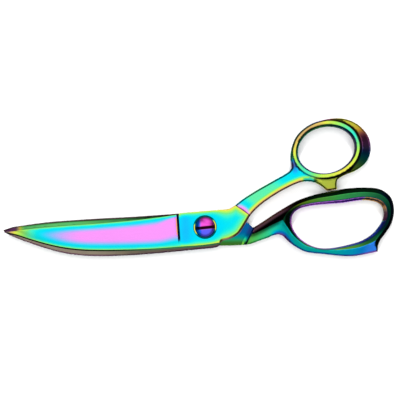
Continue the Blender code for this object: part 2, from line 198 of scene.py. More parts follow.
def smooth_path(points, closed=False, spacing=FINE):
    """Dense points along a smooth curve through the given ones, with kinks only at the corners."""
    places = [np.array(point[:2], float) for point in points]
    corner = [len(point) > 2 for point in points]
    count = len(places)
    dense = []
    for i in range(count if closed else count - 1):
        j = (i + 1) % count
        p1, p2 = places[i], places[j]
        start_free = corner[i] or (not closed and i == 0)
        end_free = corner[j] or (not closed and j == count - 1)
        p0 = 2 * p1 - p2 if start_free else places[i - 1]
        p3 = 2 * p2 - p1 if end_free else places[(j + 1) % count]
        d0, d1, d2 = np.linalg.norm(p1 - p0), np.linalg.norm(p2 - p1), np.linalg.norm(p3 - p2)
        middle = (p2 - p1) / d1
        m1 = d1 * ((p1 - p0) / d0 * d1 + middle * d0) / (d0 + d1)
        m2 = d1 * (middle * d2 + (p3 - p2) / d2 * d1) / (d1 + d2)
        steps = max(1, int(round(d1 / spacing)))
        t = np.arange(steps)[:, None] / steps
        dense.append(
            (2 * t**3 - 3 * t**2 + 1) * p1 + (t**3 - 2 * t**2 + t) * m1
            + (3 * t**2 - 2 * t**3) * p2 + (t**3 - t**2) * m2
        )
    if not closed:
        dense.append(places[-1][None])
    return np.concatenate(dense)


def line_of(points):
    """y as a smooth function of x."""
    dense = smooth_path(points, spacing=0.5)
    return lambda x: np.interp(x, dense[:, 0], dense[:, 1])


class Line:
    """A curve that distances are measured to."""

    def __init__(self, dense, closed=True):
        self.points = dense
        ahead, behind = np.roll(dense, -1, axis=0), np.roll(dense, 1, axis=0)
        if not closed:
            ahead[-1], behind[0] = dense[-1], dense[0]
        tangent = ahead - behind
        self.tangent = tangent / np.linalg.norm(tangent, axis=1)[:, None]
        self.tree = KDTree(len(dense))
        for i, (x, y) in enumerate(dense):
            self.tree.insert((x, y, 0), i)
        self.tree.balance()

    def distance(self, places):
        index = np.array([self.tree.find((x, y, 0))[1] for x, y in places])
        offset = places - self.points[index]
        tangent = self.tangent[index]
        along = np.abs((offset * tangent).sum(1))
        across = np.abs(offset[:, 0] * tangent[:, 1] - offset[:, 1] * tangent[:, 0])
        return np.where(along > 1.5 * FINE, np.linalg.norm(offset, axis=1), across)


def resample(dense, spacing, corners=()):
    """Points of a closed dense line about one spacing apart, with the corners kept."""
    stops = [0]
    travelled = 0.0
    wanted = [int(np.argmin(np.linalg.norm(dense - np.array(corner), axis=1))) for corner in corners]
    for i in range(1, len(dense)):
        travelled += np.linalg.norm(dense[i] - dense[i - 1])
        if travelled >= spacing or i in wanted:
            stops.append(i)
            travelled = 0.0
    return dense[stops]


def inside(places, polygon):
    """Which places are inside a closed polygon."""
    found = np.zeros(len(places), bool)
    x, y = places[:, 0], places[:, 1]
    ahead = np.roll(polygon, -1, axis=0)
    for (x0, y0), (x1, y1) in zip(polygon, ahead):
        if y0 == y1:
            continue
        crosses = (y0 > y) != (y1 > y)
        found ^= crosses & (x < x0 + (y - y0) * (x1 - x0) / (y1 - y0))
    return found


def smoothstep(low, high, value):
    """0 at low and 1 at high, which may be the smaller one, with a smooth change between them."""
    t = np.clip((value - low) / (high - low), 0, 1)
    return t * t * (3 - 2 * t)


def blend_max(a, b, width):
    """The greater of two values, rounded over where they are within a width of each other."""
    share = np.clip(0.5 + 0.5 * (a - b) / width, 0, 1)
    return b + (a - b) * share + width * share * (1 - share)


def blend_min(a, b, width):
    return -blend_max(-a, -b, width)


def round_drop(distance, radius, depth):
    """How far an edge that is rounded as a quarter ellipse has dropped, at a distance from the edge."""
    t = 1 - np.clip(distance / radius, 0.015, 1)
    return depth * (1 - np.sqrt(1 - t * t))


class Step:
    """The straight line across a half where its boss ends and its shank begins."""

    def __init__(self, ends):
        self.start, self.end = np.array(ends[0], float), np.array(ends[1], float)
        self.half = np.linalg.norm(self.end - self.start) / 2
        self.along = (self.end - self.start) / (2 * self.half)
        outward = np.array([-self.along[1], self.along[0]])
        self.outward = outward if outward @ self.start > 0 else -outward

    def past(self, places):
        """How far a place is beyond the step, on the shank's side."""
        return (places - self.start) @ self.outward

    def across(self, places):
        """-1 to 1 along the step."""
        return ((places - (self.start + self.end) / 2) @ self.along) / self.half

    def line(self, past):
        """Points along a line that runs beside the step, a distance past it."""
        ends = (self.start - self.along * 3, self.end + self.along * 3)
        steps = np.linspace(0, 1, 40)[:, None]
        return ends[0] + (ends[1] - ends[0]) * steps + self.outward * past


# ---------------------------------------------------------------- the two forgings


class Half:
    """What both forgings share. Heights are above their inner face, towards their outer side."""

    BEVEL, HOLLOW, STRIP, SPINE, WALL, BOSS, STEP, INNER, SINK_WALL, SINK, HANDLE = range(11)

    def __init__(self, lines, outline, step, hole):
        self.edge, self.bevel, self.ridge, self.spine = [line_of(line) for line in lines]
        # +1 where the spine is on the -Y side of the blade
        self.side = np.sign(lines[0][2][1] - lines[3][2][1])
        self.step = Step(step)
        self.corners = [point[:2] for point in outline if len(point) > 2]
        first, last = (lines[3], lines[0]) if self.side > 0 else (lines[0], lines[3])
        lower = smooth_path(first + outline)
        upper = smooth_path(last)[::-1]
        self.corners += [tuple(lower[0]), tuple(upper[-1])]
        self.outline = Line(np.concatenate([lower, upper]))
        self.hole = Line(hole)

    def thickness(self, x):
        """The blade's thickness at its ridge."""
        share = np.clip((x - TIP_X) / (WALL_FOOT - TIP_X), 0, 1)
        return TIP_THICKNESS + (BOSS_THICKNESS - TIP_THICKNESS) * np.sqrt(share + 0.002)

    def outer_patch(self, places):
        """Which patch of the outer side each place is on."""
        x, y = places[:, 0], places[:, 1]
        below_ridge = (self.ridge(x) - y) * self.side
        patch = np.where((y - self.bevel(x)) * self.side > 0, self.BEVEL, self.HOLLOW)
        along = x + WALL_LEAN * y
        patch = np.where(along > WALL_FOOT, self.WALL, patch)
        patch = np.where(along > WALL_TOP, self.BOSS, patch)
        spine = np.where(below_ridge > STRIP_WIDTH, self.SPINE, self.STRIP)
        patch = np.where((below_ridge > 0) & (x < self.ridge_end), spine, patch)
        past = self.step.past(places)
        patch = np.where((past > 0) & (x > RIGHT_OF_PIVOT), self.STEP, patch)
        return np.where((past > STEP_WIDTH) & (x > RIGHT_OF_PIVOT), self.HANDLE + self.facet(places), patch)

    def outer(self, places, patch):
        """Height of the outer side above the inner face, by the patch's own formula."""
        x, y = places[:, 0], places[:, 1]
        full = self.thickness(x)
        bevel_height = 0.5 * full
        edge, bevel, ridge, spine = self.edge(x), self.bevel(x), self.ridge(x), self.spine(x)
        if patch == self.BEVEL:
            width = np.maximum((edge - bevel) * self.side, 0.05)
            t = np.clip((edge - y) * self.side / width, 0, 1)
            return EDGE_LAND + (bevel_height - EDGE_LAND) * t
        if patch == self.HOLLOW:
            width = np.maximum((bevel - ridge) * self.side, 0.05)
            t = np.clip((bevel - y) * self.side / width, 0, 1)
            depth = HOLLOW_DEPTH * np.minimum(1, width / 14)
            height = bevel_height + (full - bevel_height) * t - depth * 4 * t * (1 - t)
            fillet = np.clip((x + WALL_LEAN * y - WALL_FOOT) / FILLET_LENGTH + 1, 0, 1) ** 2
            return height + 0.2 * fillet * (BOSS_THICKNESS - height)
        if patch in (self.STRIP, self.SPINE):
            beyond = (ridge - y) * self.side
            if patch == self.STRIP:
                return full - STRIP_DROP * beyond / STRIP_WIDTH
            width = np.maximum((ridge - spine) * self.side - STRIP_WIDTH, 0.3)
            t = (beyond - STRIP_WIDTH) / width
            shoulder = full - STRIP_DROP
            return shoulder - (shoulder - SPINE_EDGE_SHARE * full) * t
        if patch == self.WALL:
            t = (x + WALL_LEAN * y - WALL_FOOT) / (WALL_TOP - WALL_FOOT)
            foot = self.outer(places, self.HOLLOW)
            return foot + (self.outer(places, self.BOSS) - foot) * t
        if patch == self.BOSS:
            return BOSS_THICKNESS - self.boss_edge(places)
        if patch == self.STEP:
            t = self.step.past(places) / STEP_WIDTH
            boss = self.outer(places, self.BOSS)
            return boss + (self.outer(places, self.HANDLE) - boss) * t
        return self.handle(places) - self.inner_level

    def creases(self):
        """The lines that the mesh's edges must follow."""
        x = np.arange(-121.5, WALL_FOOT + 0.01, CREASE_SPACING)
        wide_x = np.arange(-114.5, -42, CREASE_SPACING)
        long_x = np.arange(-121.5, self.ridge_end, CREASE_SPACING)
        dark_edge = self.edge(wide_x) + DARK_EDGE_SHARE * (self.bevel(wide_x) - self.edge(wide_x))
        lines = [
            np.stack([x, self.bevel(x)], 1),
            np.stack([wide_x, dark_edge], 1),
            np.stack([long_x, self.ridge(long_x)], 1),
            np.stack([long_x, self.ridge(long_x) - self.side * STRIP_WIDTH], 1),
            self.step.line(0),
            self.step.line(STEP_WIDTH),
        ]
        for wall in (WALL_FOOT, WALL_TOP):
            y = np.linspace(self.ridge(wall), self.edge(wall) + self.side * 2, 24)
            lines.append(np.stack([wall - WALL_LEAN * y, y], 1))
        return lines + [self.beside_hole(width) for width in self.handle_widths()]

    def handle_ridges(self):
        """Functions that are zero along the other ridges of the handle."""
        return []

    def beside_hole(self, width):
        """A closed line around the bow's hole, as far from it as width(places) says."""
        stops = resample(self.hole.points, 0.5)
        index = [self.hole.tree.find((x, y, 0))[1] for x, y in stops]
        normal = np.stack([-self.hole.tangent[index][:, 1], self.hole.tangent[index][:, 0]], 1)
        normal *= np.sign((normal * (stops - stops.mean(0))).sum())
        places = stops
        for _ in range(4):
            places = stops + normal * width(places)[:, None]
        return np.concatenate([places, places[:1]])


def by_angle(angle, table):
    """A value that changes smoothly around a bow, from (degrees, value) pairs that cover 0 to 360."""
    degrees, values = zip(*table)
    return np.interp(angle % 360, degrees, values)


def wall_width(angle, least, most, widest_at):
    """The steep inner wall of a bow is wider on one side of the hole than on the other."""
    share = 0.5 + 0.5 * np.cos(np.radians(angle - widest_at))
    return least + (most - least) * share


# The coating's colour around the bows, as (degrees, place on the rainbow); the _SHADE tables hold painted
# shade and light instead, as (degrees, brightness)
THUMB_BAND = [
    (0, 0.25), (12, 0.32), (30, 0.43), (45, 0.38), (65, 0.28), (85, 0.21), (105, 0.14), (125, 0.12),
    (150, 0.11),
    (180, 0.17), (195, 0.23), (210, 0.35), (230, 0.4), (245, 0.3), (260, 0.22), (285, 0.2), (305, 0.16),
    (325, 0.18), (350, 0.22), (360, 0.25),
]
THUMB_FLARE = [
    (0, 0.66), (8, 0.8), (18, 0.9), (26, 0.96), (34, 1.02), (42, 1.07), (66, 1.08), (76, 1.0), (83, 0.93),
    (92, 0.88), (102, 0.76), (125, 0.5), (150, 0.36), (205, 0.36), (225, 0.6), (255, 0.16), (275, 0.2),
    (292, 0.2), (308, 0.14), (322, 0.22), (335, 0.28), (345, 0.4), (360, 0.66),
]
# Painted shade and light around the thumb bow's flare, standing in for its reflections
THUMB_FLARE_SHADE = [
    (0, 0.35), (18, 0.32), (32, 0.7), (48, 0.75), (70, 0.8), (85, 1.0), (120, 1.0), (150, 0.6), (195, 0.4),
    (225, 0.6), (255, 0.75), (292, 0.8), (305, 0.45), (320, 1.0), (332, 0.9), (345, 0.4), (360, 0.3),
]
THUMB_WALL = [
    (0, 0.7), (20, 0.66), (40, 0.6), (58, 0.46), (80, 0.36), (110, 0.33), (180, 0.4), (215, 0.6),
    (300, 0.62),
    (360, 0.7),
]
FINGER_INSIDE = [
    (0, 0.46), (18, 0.42), (35, 0.38), (60, 0.35), (90, 0.33), (118, 0.27), (140, 0.22), (160, 0.36),
    (195, 0.38),
    (218, 0.26), (240, 0.14), (265, 0.2), (290, 0.27), (325, 0.34), (345, 0.4), (360, 0.46),
]
# Painted shade around the finger bow's inner facet, nearly black on the right
FINGER_INSIDE_SHADE = [
    (0, 0.03), (28, 0.04), (50, 0.14), (68, 0.36), (90, 0.45), (110, 0.38), (125, 0.28), (140, 0.22),
    (155, 0.04),
    (200, 0.03), (225, 0.12), (240, 0.3), (270, 0.4), (300, 0.35), (335, 0.22), (350, 0.05), (360, 0.03),
]
FINGER_LIP = [
    (0, 0.62), (9.9, 0.64), (10, 0.0), (24, 0.02), (32, 0.08), (59.9, 0.1), (60, 0.74), (150, 0.74),
    (180, 0.78),
    (225, 0.78), (240, 0.72), (300, 0.66), (340, 0.62), (360, 0.62),
]
# Painted shade and light on the finger bow's lip; values above 1 are painted light
FINGER_LIP_SHADE = [
    (0, 0.5), (9.9, 0.6), (10, 1.2), (30, 1.5), (59.9, 1.5), (60, 1.0), (200, 1.0), (235, 0.5), (360, 0.5),
]


class ThumbHalf(Half):
    """The upper forging. Its blade is the wide one, with its spine on the -Y side."""

    ridge_end = 9.6
    inner_level = THUMB_INNER
    bore_radius = SHOULDER_RADIUS + RUNNING_CLEARANCE
    HOLE_WALL, FLAT_BAND, GROOVE, REST = range(4)
    BAND = 1.9

    def __init__(self):
        turn = np.linspace(0, 2 * np.pi, 1000, endpoint=False)
        x, y = THUMB_HOLE_RADII[0] * np.cos(turn), THUMB_HOLE_RADII[1] * np.sin(turn)
        c, s = np.cos(THUMB_HOLE_TILT), np.sin(THUMB_HOLE_TILT)
        hole = THUMB_HOLE_CENTRE + np.stack([x * c - y * s, x * s + y * c], 1)
        lines = (THUMB_EDGE, THUMB_BEVEL, THUMB_RIDGE, THUMB_SPINE)
        super().__init__(lines, THUMB_OUTLINE, THUMB_STEP, hole)
        lug = [point[:2] for point in THUMB_OUTLINE].index((75.6, 22.3))
        top = [point[:2] for point in THUMB_OUTLINE].index((18.6, 13.4))
        self.lower = Line(smooth_path(THUMB_OUTLINE[4 : lug + 1]), closed=False)
        self.upper = Line(smooth_path(THUMB_OUTLINE[lug + 12 : top + 1]), closed=False)

    def boss_edge(self, places):
        """The boss's edge is crisp on top and has a polished chamfer at its lower right."""
        x, y = places[:, 0], places[:, 1]
        distance = self.outline.distance(places)
        lower_right = smoothstep(8.0, 10.0, x) * smoothstep(9.5, 6.5, y)
        return lower_right * 1.15 * np.clip(1 - distance / 1.3, 0, 1) + round_drop(distance, 0.2, 0.2)

    def angle(self, places):
        """Degrees about the middle of the thumb bow."""
        offset = places - THUMB_HOLE_CENTRE
        return np.degrees(np.arctan2(offset[:, 1], offset[:, 0]))

    def wall(self, angle):
        """Width of the hole's steep wall."""
        return wall_width(angle, 0.5, 1.5, 118)

    def lug(self, places):
        """1 on the stop lug and 0 away from it."""
        x, y = places[:, 0], places[:, 1]
        return smoothstep(66, 70, x) * smoothstep(88, 84, x) * smoothstep(35, 33, y)

    def to_band(self, places):
        """How far a place is outside the flat band around the hole."""
        return self.hole.distance(places) - self.wall(self.angle(places)) - self.BAND

    def facet(self, places):
        """Which of the four facets each place is on, from the hole outwards."""
        to_band = self.to_band(places)
        return (to_band > -self.BAND).astype(int) + (to_band > 0) + (to_band > self.groove(places))

    def groove(self, places):
        """Width of the groove around the band, which is widest on the right and painted dark."""
        return wall_width(self.angle(places), 0.5, 1.5, -8)

    def handle_widths(self):
        """Distances from the hole of the lines around it."""
        return [
            lambda places: self.wall(self.angle(places)),
            lambda places: self.wall(self.angle(places)) + self.BAND,
            lambda places: self.wall(self.angle(places)) + self.BAND + self.groove(places),
        ]

    def handle(self, places, past_offset=0.0):
        """Height above the table of the shank and bow's outer side. Its underside is the mirror image."""
        to_edge = self.outline.distance(places)
        past = self.step.past(places) - past_offset
        across = self.step.across(places)
        angle = self.angle(places)
        level = 9.3 + 1.3 * smoothstep(2, 26, past)
        dish = np.clip(1 - past / 4.2, 0, 1) ** 2 * np.clip(1 - across**2, 0, 1)
        level = level - 0.8 * dish
        to_band = self.to_band(places)
        wide = np.maximum(to_edge + to_band, 1.5)
        out = np.clip(to_band / wide, 0, 1)
        flared = smoothstep(-66, -48, angle) * smoothstep(140, 100, angle)
        level = level - flared * (0.8 + np.minimum(3.2, 0.42 * wide) * out**1.2)
        level = level - self.lug(places) * (0.35 + 0.36 * np.clip(to_band, 0, 9))
        ring = THICKNESS - 1.6 * np.clip(-to_band - self.BAND, 0, 9) - 1.3 * np.clip(to_band, 0, 9)
        height = blend_max(level, ring, 0.15)
        return height - round_drop(to_edge, 1.2, np.maximum(height - MIDDLE - 0.6, 0.5))

    def paint(self, places, patch):
        """The coating's colour as a place on the rainbow, its painted shade and light, and how much pink lies
        over it.
        """
        x, y = places[:, 0], places[:, 1]
        to_edge = self.outline.distance(places)
        if patch == self.BEVEL:
            inward = (self.edge(x) - y) / np.maximum(self.edge(x) - self.bevel(x), 0.1)
            # Painted shade: the bevel darkens towards its outer edge and towards the boss.
            film = 0.32 - 0.32 * smoothstep(-111, -118, x)
            edge = smoothstep(DARK_EDGE_SHARE, 0.05, inward)
            lit = 1 - (0.75 + 0.2 * smoothstep(-90, -70, x)) * edge * smoothstep(-119, -110, x)
            return film, (0.85 - 0.2 * smoothstep(-116, -108, x) - 0.4 * smoothstep(-90, -35, x)) * lit, 0
        if patch == self.HOLLOW:
            return self.hollow_paint(x, y)
        if patch == self.WALL:
            # Painted shade: the wall beside the boss is painted dark, fading into the hollow's colour towards
            # the spine.
            steep = smoothstep(-8.8, -6.2, y)
            film, _, blush = self.hollow_paint(x, y)
            return film + (0.64 - film) * steep, 1 - 0.95 * steep, blush * (1 - steep)
        if patch == self.STRIP:
            # Painted shade: the strip along the ridge is painted nearly black, a little lighter beside the
            # boss.
            return 0.33, 0.03 + 0.4 * smoothstep(-60, -25, x), 0
        if patch == self.SPINE:
            film = 0.055 - 0.05 * smoothstep(1.1, 0.3, to_edge) - 0.02 * smoothstep(-40, 0, x)
            # Painted shade: the spine darkens towards the boss and along its outer edge.
            shade = (0.86 - 0.2 * smoothstep(-60, -10, x)) * (1 - 0.5 * smoothstep(0.8, 0.2, to_edge))
            return film, shade, 0
        if patch == self.STEP:
            # Painted shade: the step is painted as a dark line.
            return 0.62, 0.04, 0
        if patch == self.BOSS:
            return self.boss_film(places, to_edge), 1, 0
        if patch >= self.HANDLE:
            return self.handle_paint(places, to_edge, patch - self.HANDLE)
        return 0.45 + 0.05 * np.sin(x / 40), 1, 0

    def hollow_paint(self, x, y):
        """Cyan along the edges and pink in the middle, fading through blue to green and gold at the tip."""
        near_wall = smoothstep(-34, -16, x) ** 2
        e_top = (self.bevel(x) - y) * (1 + 1.6 * near_wall)
        e_bottom = (y - self.ridge(x)) / (1.2 + 0.5 * near_wall)
        inward = blend_min(e_top, e_bottom, 0.6)
        film = np.interp(inward, [0, 0.3, 0.8, 1.8, 3.0, 4.5], [0.28, 0.38, 0.45, 0.49, 0.53, 0.56])
        stations = [-125, -121.5, -119.5, -117, -113, -108.5, -104, -98, -88]
        most = np.interp(x, stations, [0.0, 0.05, 0.13, 0.19, 0.26, 0.37, 0.47, 0.53, 0.58])
        film = blend_min(film, most, 0.06)
        blush = smoothstep(2.0, 5.2, inward) * smoothstep(-104, -76, x)
        to_wall = WALL_FOOT - (x + WALL_LEAN * y)
        orange = smoothstep(1.4, 0.6, to_wall) * smoothstep(0.6, 0.9, blush)
        return film + (1.0 - film) * orange, 1, blush * (1 - orange)

    def boss_film(self, places, to_edge):
        """Cyan in the middle and yellow-green along the edges, with a wider rim on the right."""
        x, y = places[:, 0], places[:, 1]
        to_step = np.abs(self.step.past(places)) + 0.5
        to_ridge = np.where(x < 10, y - self.ridge(x), 99)
        inward = np.maximum(np.minimum(np.minimum(to_step, to_edge), to_ridge), 0)
        right = smoothstep(4, 14, x)
        wide = 1.4 + 1.8 * right
        film = 0.5 - (0.31 + 0.05 * right) * np.exp(-((inward / wide) ** 1.35))
        film = film + 0.05 * np.exp(-(((x + 12) / 4) ** 2))
        chamfer = smoothstep(1.5, 1.1, to_edge) * smoothstep(8.5, 10, x) * smoothstep(9, 6.5, y)
        return film - 0.12 * chamfer

    def handle_paint(self, places, to_edge, facet):
        """The coat by angle around the ring, and by distance from the lower edge of the shank."""
        angle = self.angle(places) % 360
        if facet == self.HOLE_WALL:
            # Painted shade on the hole's steep wall.
            return by_angle(angle, THUMB_WALL), 0.2, 0
        if facet == self.FLAT_BAND:
            return by_angle(angle, THUMB_BAND), 1, 0
        x, y = places[:, 0], places[:, 1]
        past, to_hole = self.step.past(places), self.hole.distance(places)
        to_lower = self.lower.distance(places)
        across = self.step.across(places)
        shank = 0.5 - 0.13 * smoothstep(3.5, 10, past) * smoothstep(32, 22, past)
        by_lower = np.interp(to_lower, [0.7, 1.2, 1.8, 2.6, 4.0], [0.07, 0.11, 0.18, 0.27, 0.5])
        shank = blend_min(shank, by_lower, 0.06)
        under_ring = smoothstep(59, 62, x) * smoothstep(1.9, 1.5, to_lower)
        shank = shank + (0.45 - shank) * under_ring
        corner = np.exp(-((x - 53.8) ** 2 + (y - 38) ** 2) / 5.5)
        beside_corner = np.exp(-((x - 55.6) ** 2 + (y - 35) ** 2) / 4.5)
        shank = shank + (0.66 - shank) * np.maximum(corner, 0.6 * beside_corner)
        dish = np.clip(1 - past / 3.6, 0, 1) * np.clip(1 - across**2, 0, 1)
        near_ring = smoothstep(6, 3, to_hole) * smoothstep(58, 55, x)
        on_shank = (angle > 196) & (angle < 262) & (past < 45) & (x < 72)
        film = np.where(on_shank, shank + 0.06 * near_ring, by_angle(angle, THUMB_FLARE))
        # Painted shade under the ring and at the corner beside it; the flare's brightness by angle is painted
        # shade and light.
        on_shank_shade = 1 - 0.4 * under_ring - 0.8 * corner
        shade = np.where(on_shank, on_shank_shade, by_angle(angle, THUMB_FLARE_SHADE))
        film = film + (0.19 - 0.08 * smoothstep(24.5, 23, y) - film) * self.lug(places)
        if facet == self.GROOVE:
            # Painted shade in the groove, darkest on the right.
            shade = shade * (0.5 - 0.4 * smoothstep(-0.3, 0.5, np.cos(np.radians(angle + 8))))
        return film, shade, smoothstep(0.05, 0.65, dish)


class FingerHalf(Half):
    """The lower forging. Its blade is the narrow one, with its spine on the +Y side."""

    ridge_end = -17.4
    inner_level = FINGER_INNER
    bore_radius = THREAD_RADIUS + RUNNING_CLEARANCE
    TO_UPPER, TO_LOWER, TO_HOLE, LIP, LIP_LINE = range(5)
    BOW_CENTRE = np.array([82.0, 1.0])
    LINE_WIDTH = 0.45

    def __init__(self):
        lines = (FINGER_EDGE, FINGER_BEVEL, FINGER_RIDGE, FINGER_SPINE)
        super().__init__(lines, FINGER_OUTLINE, FINGER_STEP, smooth_path(FINGER_HOLE, closed=True))
        tail = [point[:2] for point in FINGER_OUTLINE].index((106.7, -15.2))
        self.lower = Line(smooth_path(FINGER_OUTLINE[: tail + 1]), closed=False)
        self.upper = Line(smooth_path(FINGER_OUTLINE[tail:]), closed=False)

    def boss_edge(self, places):
        """How far the boss has dropped at its rounded edge."""
        return round_drop(self.outline.distance(places), 0.4, 0.4)

    def angle(self, places):
        """Degrees about the middle of the finger bow."""
        offset = places - self.BOW_CENTRE
        return np.degrees(np.arctan2(offset[:, 1], offset[:, 0] * 0.6))

    def lip(self, places):
        """Width of the hole's chamfer."""
        return wall_width(self.angle(places), 0.4, 1.9, 60)

    def slopes(self, places):
        """Heights of the three facets: towards the upper outline, the lower outline and the hole."""
        x = places[:, 0]
        on_bow = smoothstep(40, 60, x)
        towards_upper = 9.5 - 0.8 * on_bow + (0.36 + 0.45 * on_bow) * self.upper.distance(places)
        towards_lower = 8.9 + (0.36 - 0.06 * smoothstep(94, 106, x)) * self.lower.distance(places)
        towards_hole = 9.9 + (0.36 + 0.14 * smoothstep(64, 54, x)) * self.to_lip(places)
        return towards_upper, towards_lower, towards_hole

    def to_lip(self, places):
        """How far a place is outside the lip."""
        return self.hole.distance(places) - self.lip(places)

    def facet(self, places):
        """Which facet each place is on. Three face the outlines and the hole, and a line runs at the lip."""
        towards_upper, towards_lower, towards_hole = self.slopes(places)
        to_lip = self.to_lip(places)
        facet = np.where(towards_lower < towards_upper, self.TO_LOWER, self.TO_UPPER)
        facet = np.where(towards_hole < np.minimum(towards_upper, towards_lower), self.TO_HOLE, facet)
        facet = np.where(to_lip < self.LINE_WIDTH, self.LIP_LINE, facet)
        return np.where(to_lip < 0, self.LIP, facet)

    def handle_ridges(self):
        """The ridges between the three facets."""

        def upper_lower(places):
            towards_upper, towards_lower, towards_hole = self.slopes(places)
            buried = towards_hole < np.minimum(towards_upper, towards_lower) - 0.2
            return np.where(buried, 9, towards_upper - towards_lower)

        def hole_outer(places):
            towards_upper, towards_lower, towards_hole = self.slopes(places)
            return towards_hole - np.minimum(towards_upper, towards_lower)

        return [hole_outer, upper_lower]

    def handle_widths(self):
        """Distances from the hole of the lines around it."""
        return [self.lip, lambda places: self.lip(places) + self.LINE_WIDTH]

    def handle(self, places, past_offset=0.0):
        """Height above the table of the shank and bow's outer side. Its underside is the mirror image."""
        to_edge = self.outline.distance(places)
        towards_upper, towards_lower, towards_hole = self.slopes(places)
        past = self.step.past(places) - past_offset
        height = blend_min(blend_min(towards_upper, towards_lower, 0.12), towards_hole, 0.12)
        height = blend_min(height, np.full(len(places), THICKNESS), 0.3)
        height = height - 1.5 * smoothstep(16, 0, past)
        height = height - 0.7 * np.clip(-self.to_lip(places), 0, 9)
        return height - round_drop(to_edge, 1.0, np.maximum(height - MIDDLE - 0.6, 0.5))

    def paint(self, places, patch):
        """The coating's colour as a place on the rainbow, its painted shade and light, and how much pink lies
        over it.
        """
        x, y = places[:, 0], places[:, 1]
        to_edge = self.outline.distance(places)
        if patch == self.STEP:
            # Painted shade: the step is painted as a dark line.
            return 0.63, 0.25, 0
        if patch == self.INNER:
            return self.inner_paint(places)
        if patch < self.HANDLE:
            inward = np.minimum(to_edge, 6)
            return 0.14 + 0.37 * (1 - np.exp(-((inward / 2.2) ** 1.3))), 1, 0
        return self.handle_paint(places, to_edge, patch - self.HANDLE)

    def inner_paint(self, places):
        """Painted shade beside the thumb half's boss with a painted glint line, brown along the spine, and
        cyan under the thumb blade.
        """
        x, y = places[:, 0], places[:, 1]
        past = self.step.past(places)
        film = 0.28 + 0.3 * smoothstep(-11, -2.5, y) + 0.05 * smoothstep(-3.5, -1, past)
        # Painted highlight: a short glint line beside the step; painted shade towards the step and low down
        # beside the boss.
        glint = np.exp(-(((past + 1.4) / 0.45) ** 2)) * smoothstep(-5.5, -7.5, y)
        shade = 0.34 - 0.16 * smoothstep(-3.5, -0.5, past) - 0.16 * smoothstep(-8, -10, y) + 0.8 * glint
        beside_boss = smoothstep(2, 7, x)
        film = 0.48 + (film - 0.1 * glint - 0.48) * beside_boss
        shade = 1 + (shade - 1) * beside_boss
        on_spine = (x < -117) | ((x < WALL_TOP) & (y > self.spine(x) - 2.2))
        return np.where(on_spine, 0.03, film), np.where(on_spine, 0.7, shade), 0

    def handle_paint(self, places, to_edge, facet):
        """The coat of the shank and bow, by angle around the hole and by place along the lower facet."""
        x = places[:, 0]
        angle = self.angle(places) % 360
        if facet == self.TO_UPPER:
            # Painted shade: the upper facet is nearly black, with a painted light line along its outer edge
            # on the shank.
            on_shank = smoothstep(56, 44, x)
            at_edge = smoothstep(2.6, 1.7, to_edge)
            film = 0.02 + 0.32 * smoothstep(56, 66, x) + 0.25 * smoothstep(104, 113, x)
            return film, 0.015 + 1.8 * at_edge * on_shank, 0
        if facet == self.TO_LOWER:
            towards_upper, towards_lower, towards_hole = self.slopes(places)
            below_ridge = np.minimum(towards_upper, towards_hole) - towards_lower
            film = np.interp(
                x,
                [24, 30, 36, 42, 46, 49, 54, 62, 80, 92, 100, 107],
                [0.27, 0.32, 0.36, 0.41, 0.44, 0.46, 0.46, 0.45, 0.46, 0.53, 0.6, 0.61],
            )
            film = film + 0.16 * smoothstep(3.6, 1.2, to_edge) * smoothstep(39, 45, x) * smoothstep(56, 50, x)
            film = film + 0.15 * smoothstep(1.3, 0.5, to_edge) * smoothstep(40, 46, x)
            # Painted shade near the ridge, and painted brightness along the facet.
            dark = smoothstep(2.2, 0.2, below_ridge) * smoothstep(54, 44, x)
            lit = np.interp(x, [24, 44, 52, 88, 100], [0.62, 0.7, 0.55, 0.6, 0.95])
            return film, lit * (1 - 0.85 * dark), 0
        if facet == self.TO_HOLE:
            # Painted shade by angle around the hole.
            return by_angle(angle, FINGER_INSIDE), by_angle(angle, FINGER_INSIDE_SHADE), 0
        if facet == self.LIP:
            # Painted shade and light on the lip by angle.
            film = by_angle(angle, FINGER_LIP)
            return film, by_angle(angle, FINGER_LIP_SHADE), 0.3 * (film > 0.7)
        # Painted shade: a dark line around the lip.
        return by_angle(angle, FINGER_INSIDE) + 0.2, 0.15, 0


# ---------------------------------------------------------------- meshes of the forgings


def keep_apart(groups, gap):
    """The points of all groups in turn, leaving out each one that is too near to an earlier one."""
    taken = {}
    kept = []
    for group, always in groups:
        for point in group:
            cell = (int(point[0] // gap), int(point[1] // gap))
            near = [
                other
                for i in (-1, 0, 1)
                for j in (-1, 0, 1)
                for other in taken.get((cell[0] + i, cell[1] + j), ())
            ]
            clear = all((point[0] - a) ** 2 + (point[1] - b) ** 2 > gap * gap for a, b in near)
            if always or clear:
                taken.setdefault(cell, []).append((point[0], point[1]))
                kept.append((point[0], point[1]))
    return kept


def circle(radius, count):
    """Points around the pivot axis."""
    turn = np.linspace(0, 2 * np.pi, count, endpoint=False)
    return radius * np.stack([np.cos(turn), np.sin(turn)], 1)


def offset_ring(line, offset, spacing):
    """Points beside a closed line, on both of its sides."""
    stops = resample(line.points, spacing)
    index = [line.tree.find((x, y, 0))[1] for x, y in stops]
    normal = np.stack([-line.tangent[index][:, 1], line.tangent[index][:, 0]], 1)
    return np.concatenate([stops + normal * offset, stops - normal * offset])


def on_zero(function, grid):
    """The grid's points that are near a function's zero line, moved onto it."""
    reach, step = 0.3, 0.02
    for _ in range(3):
        value = function(grid)
        slope = np.stack(
            [(function(grid + [step, 0]) - value) / step, (function(grid + [0, step]) - value) / step], 1
        )
        move = slope * (value / np.maximum((slope**2).sum(1), 0.01))[:, None]
        near = np.linalg.norm(move, axis=1) < reach
        grid = grid[near] - move[near]
    return grid


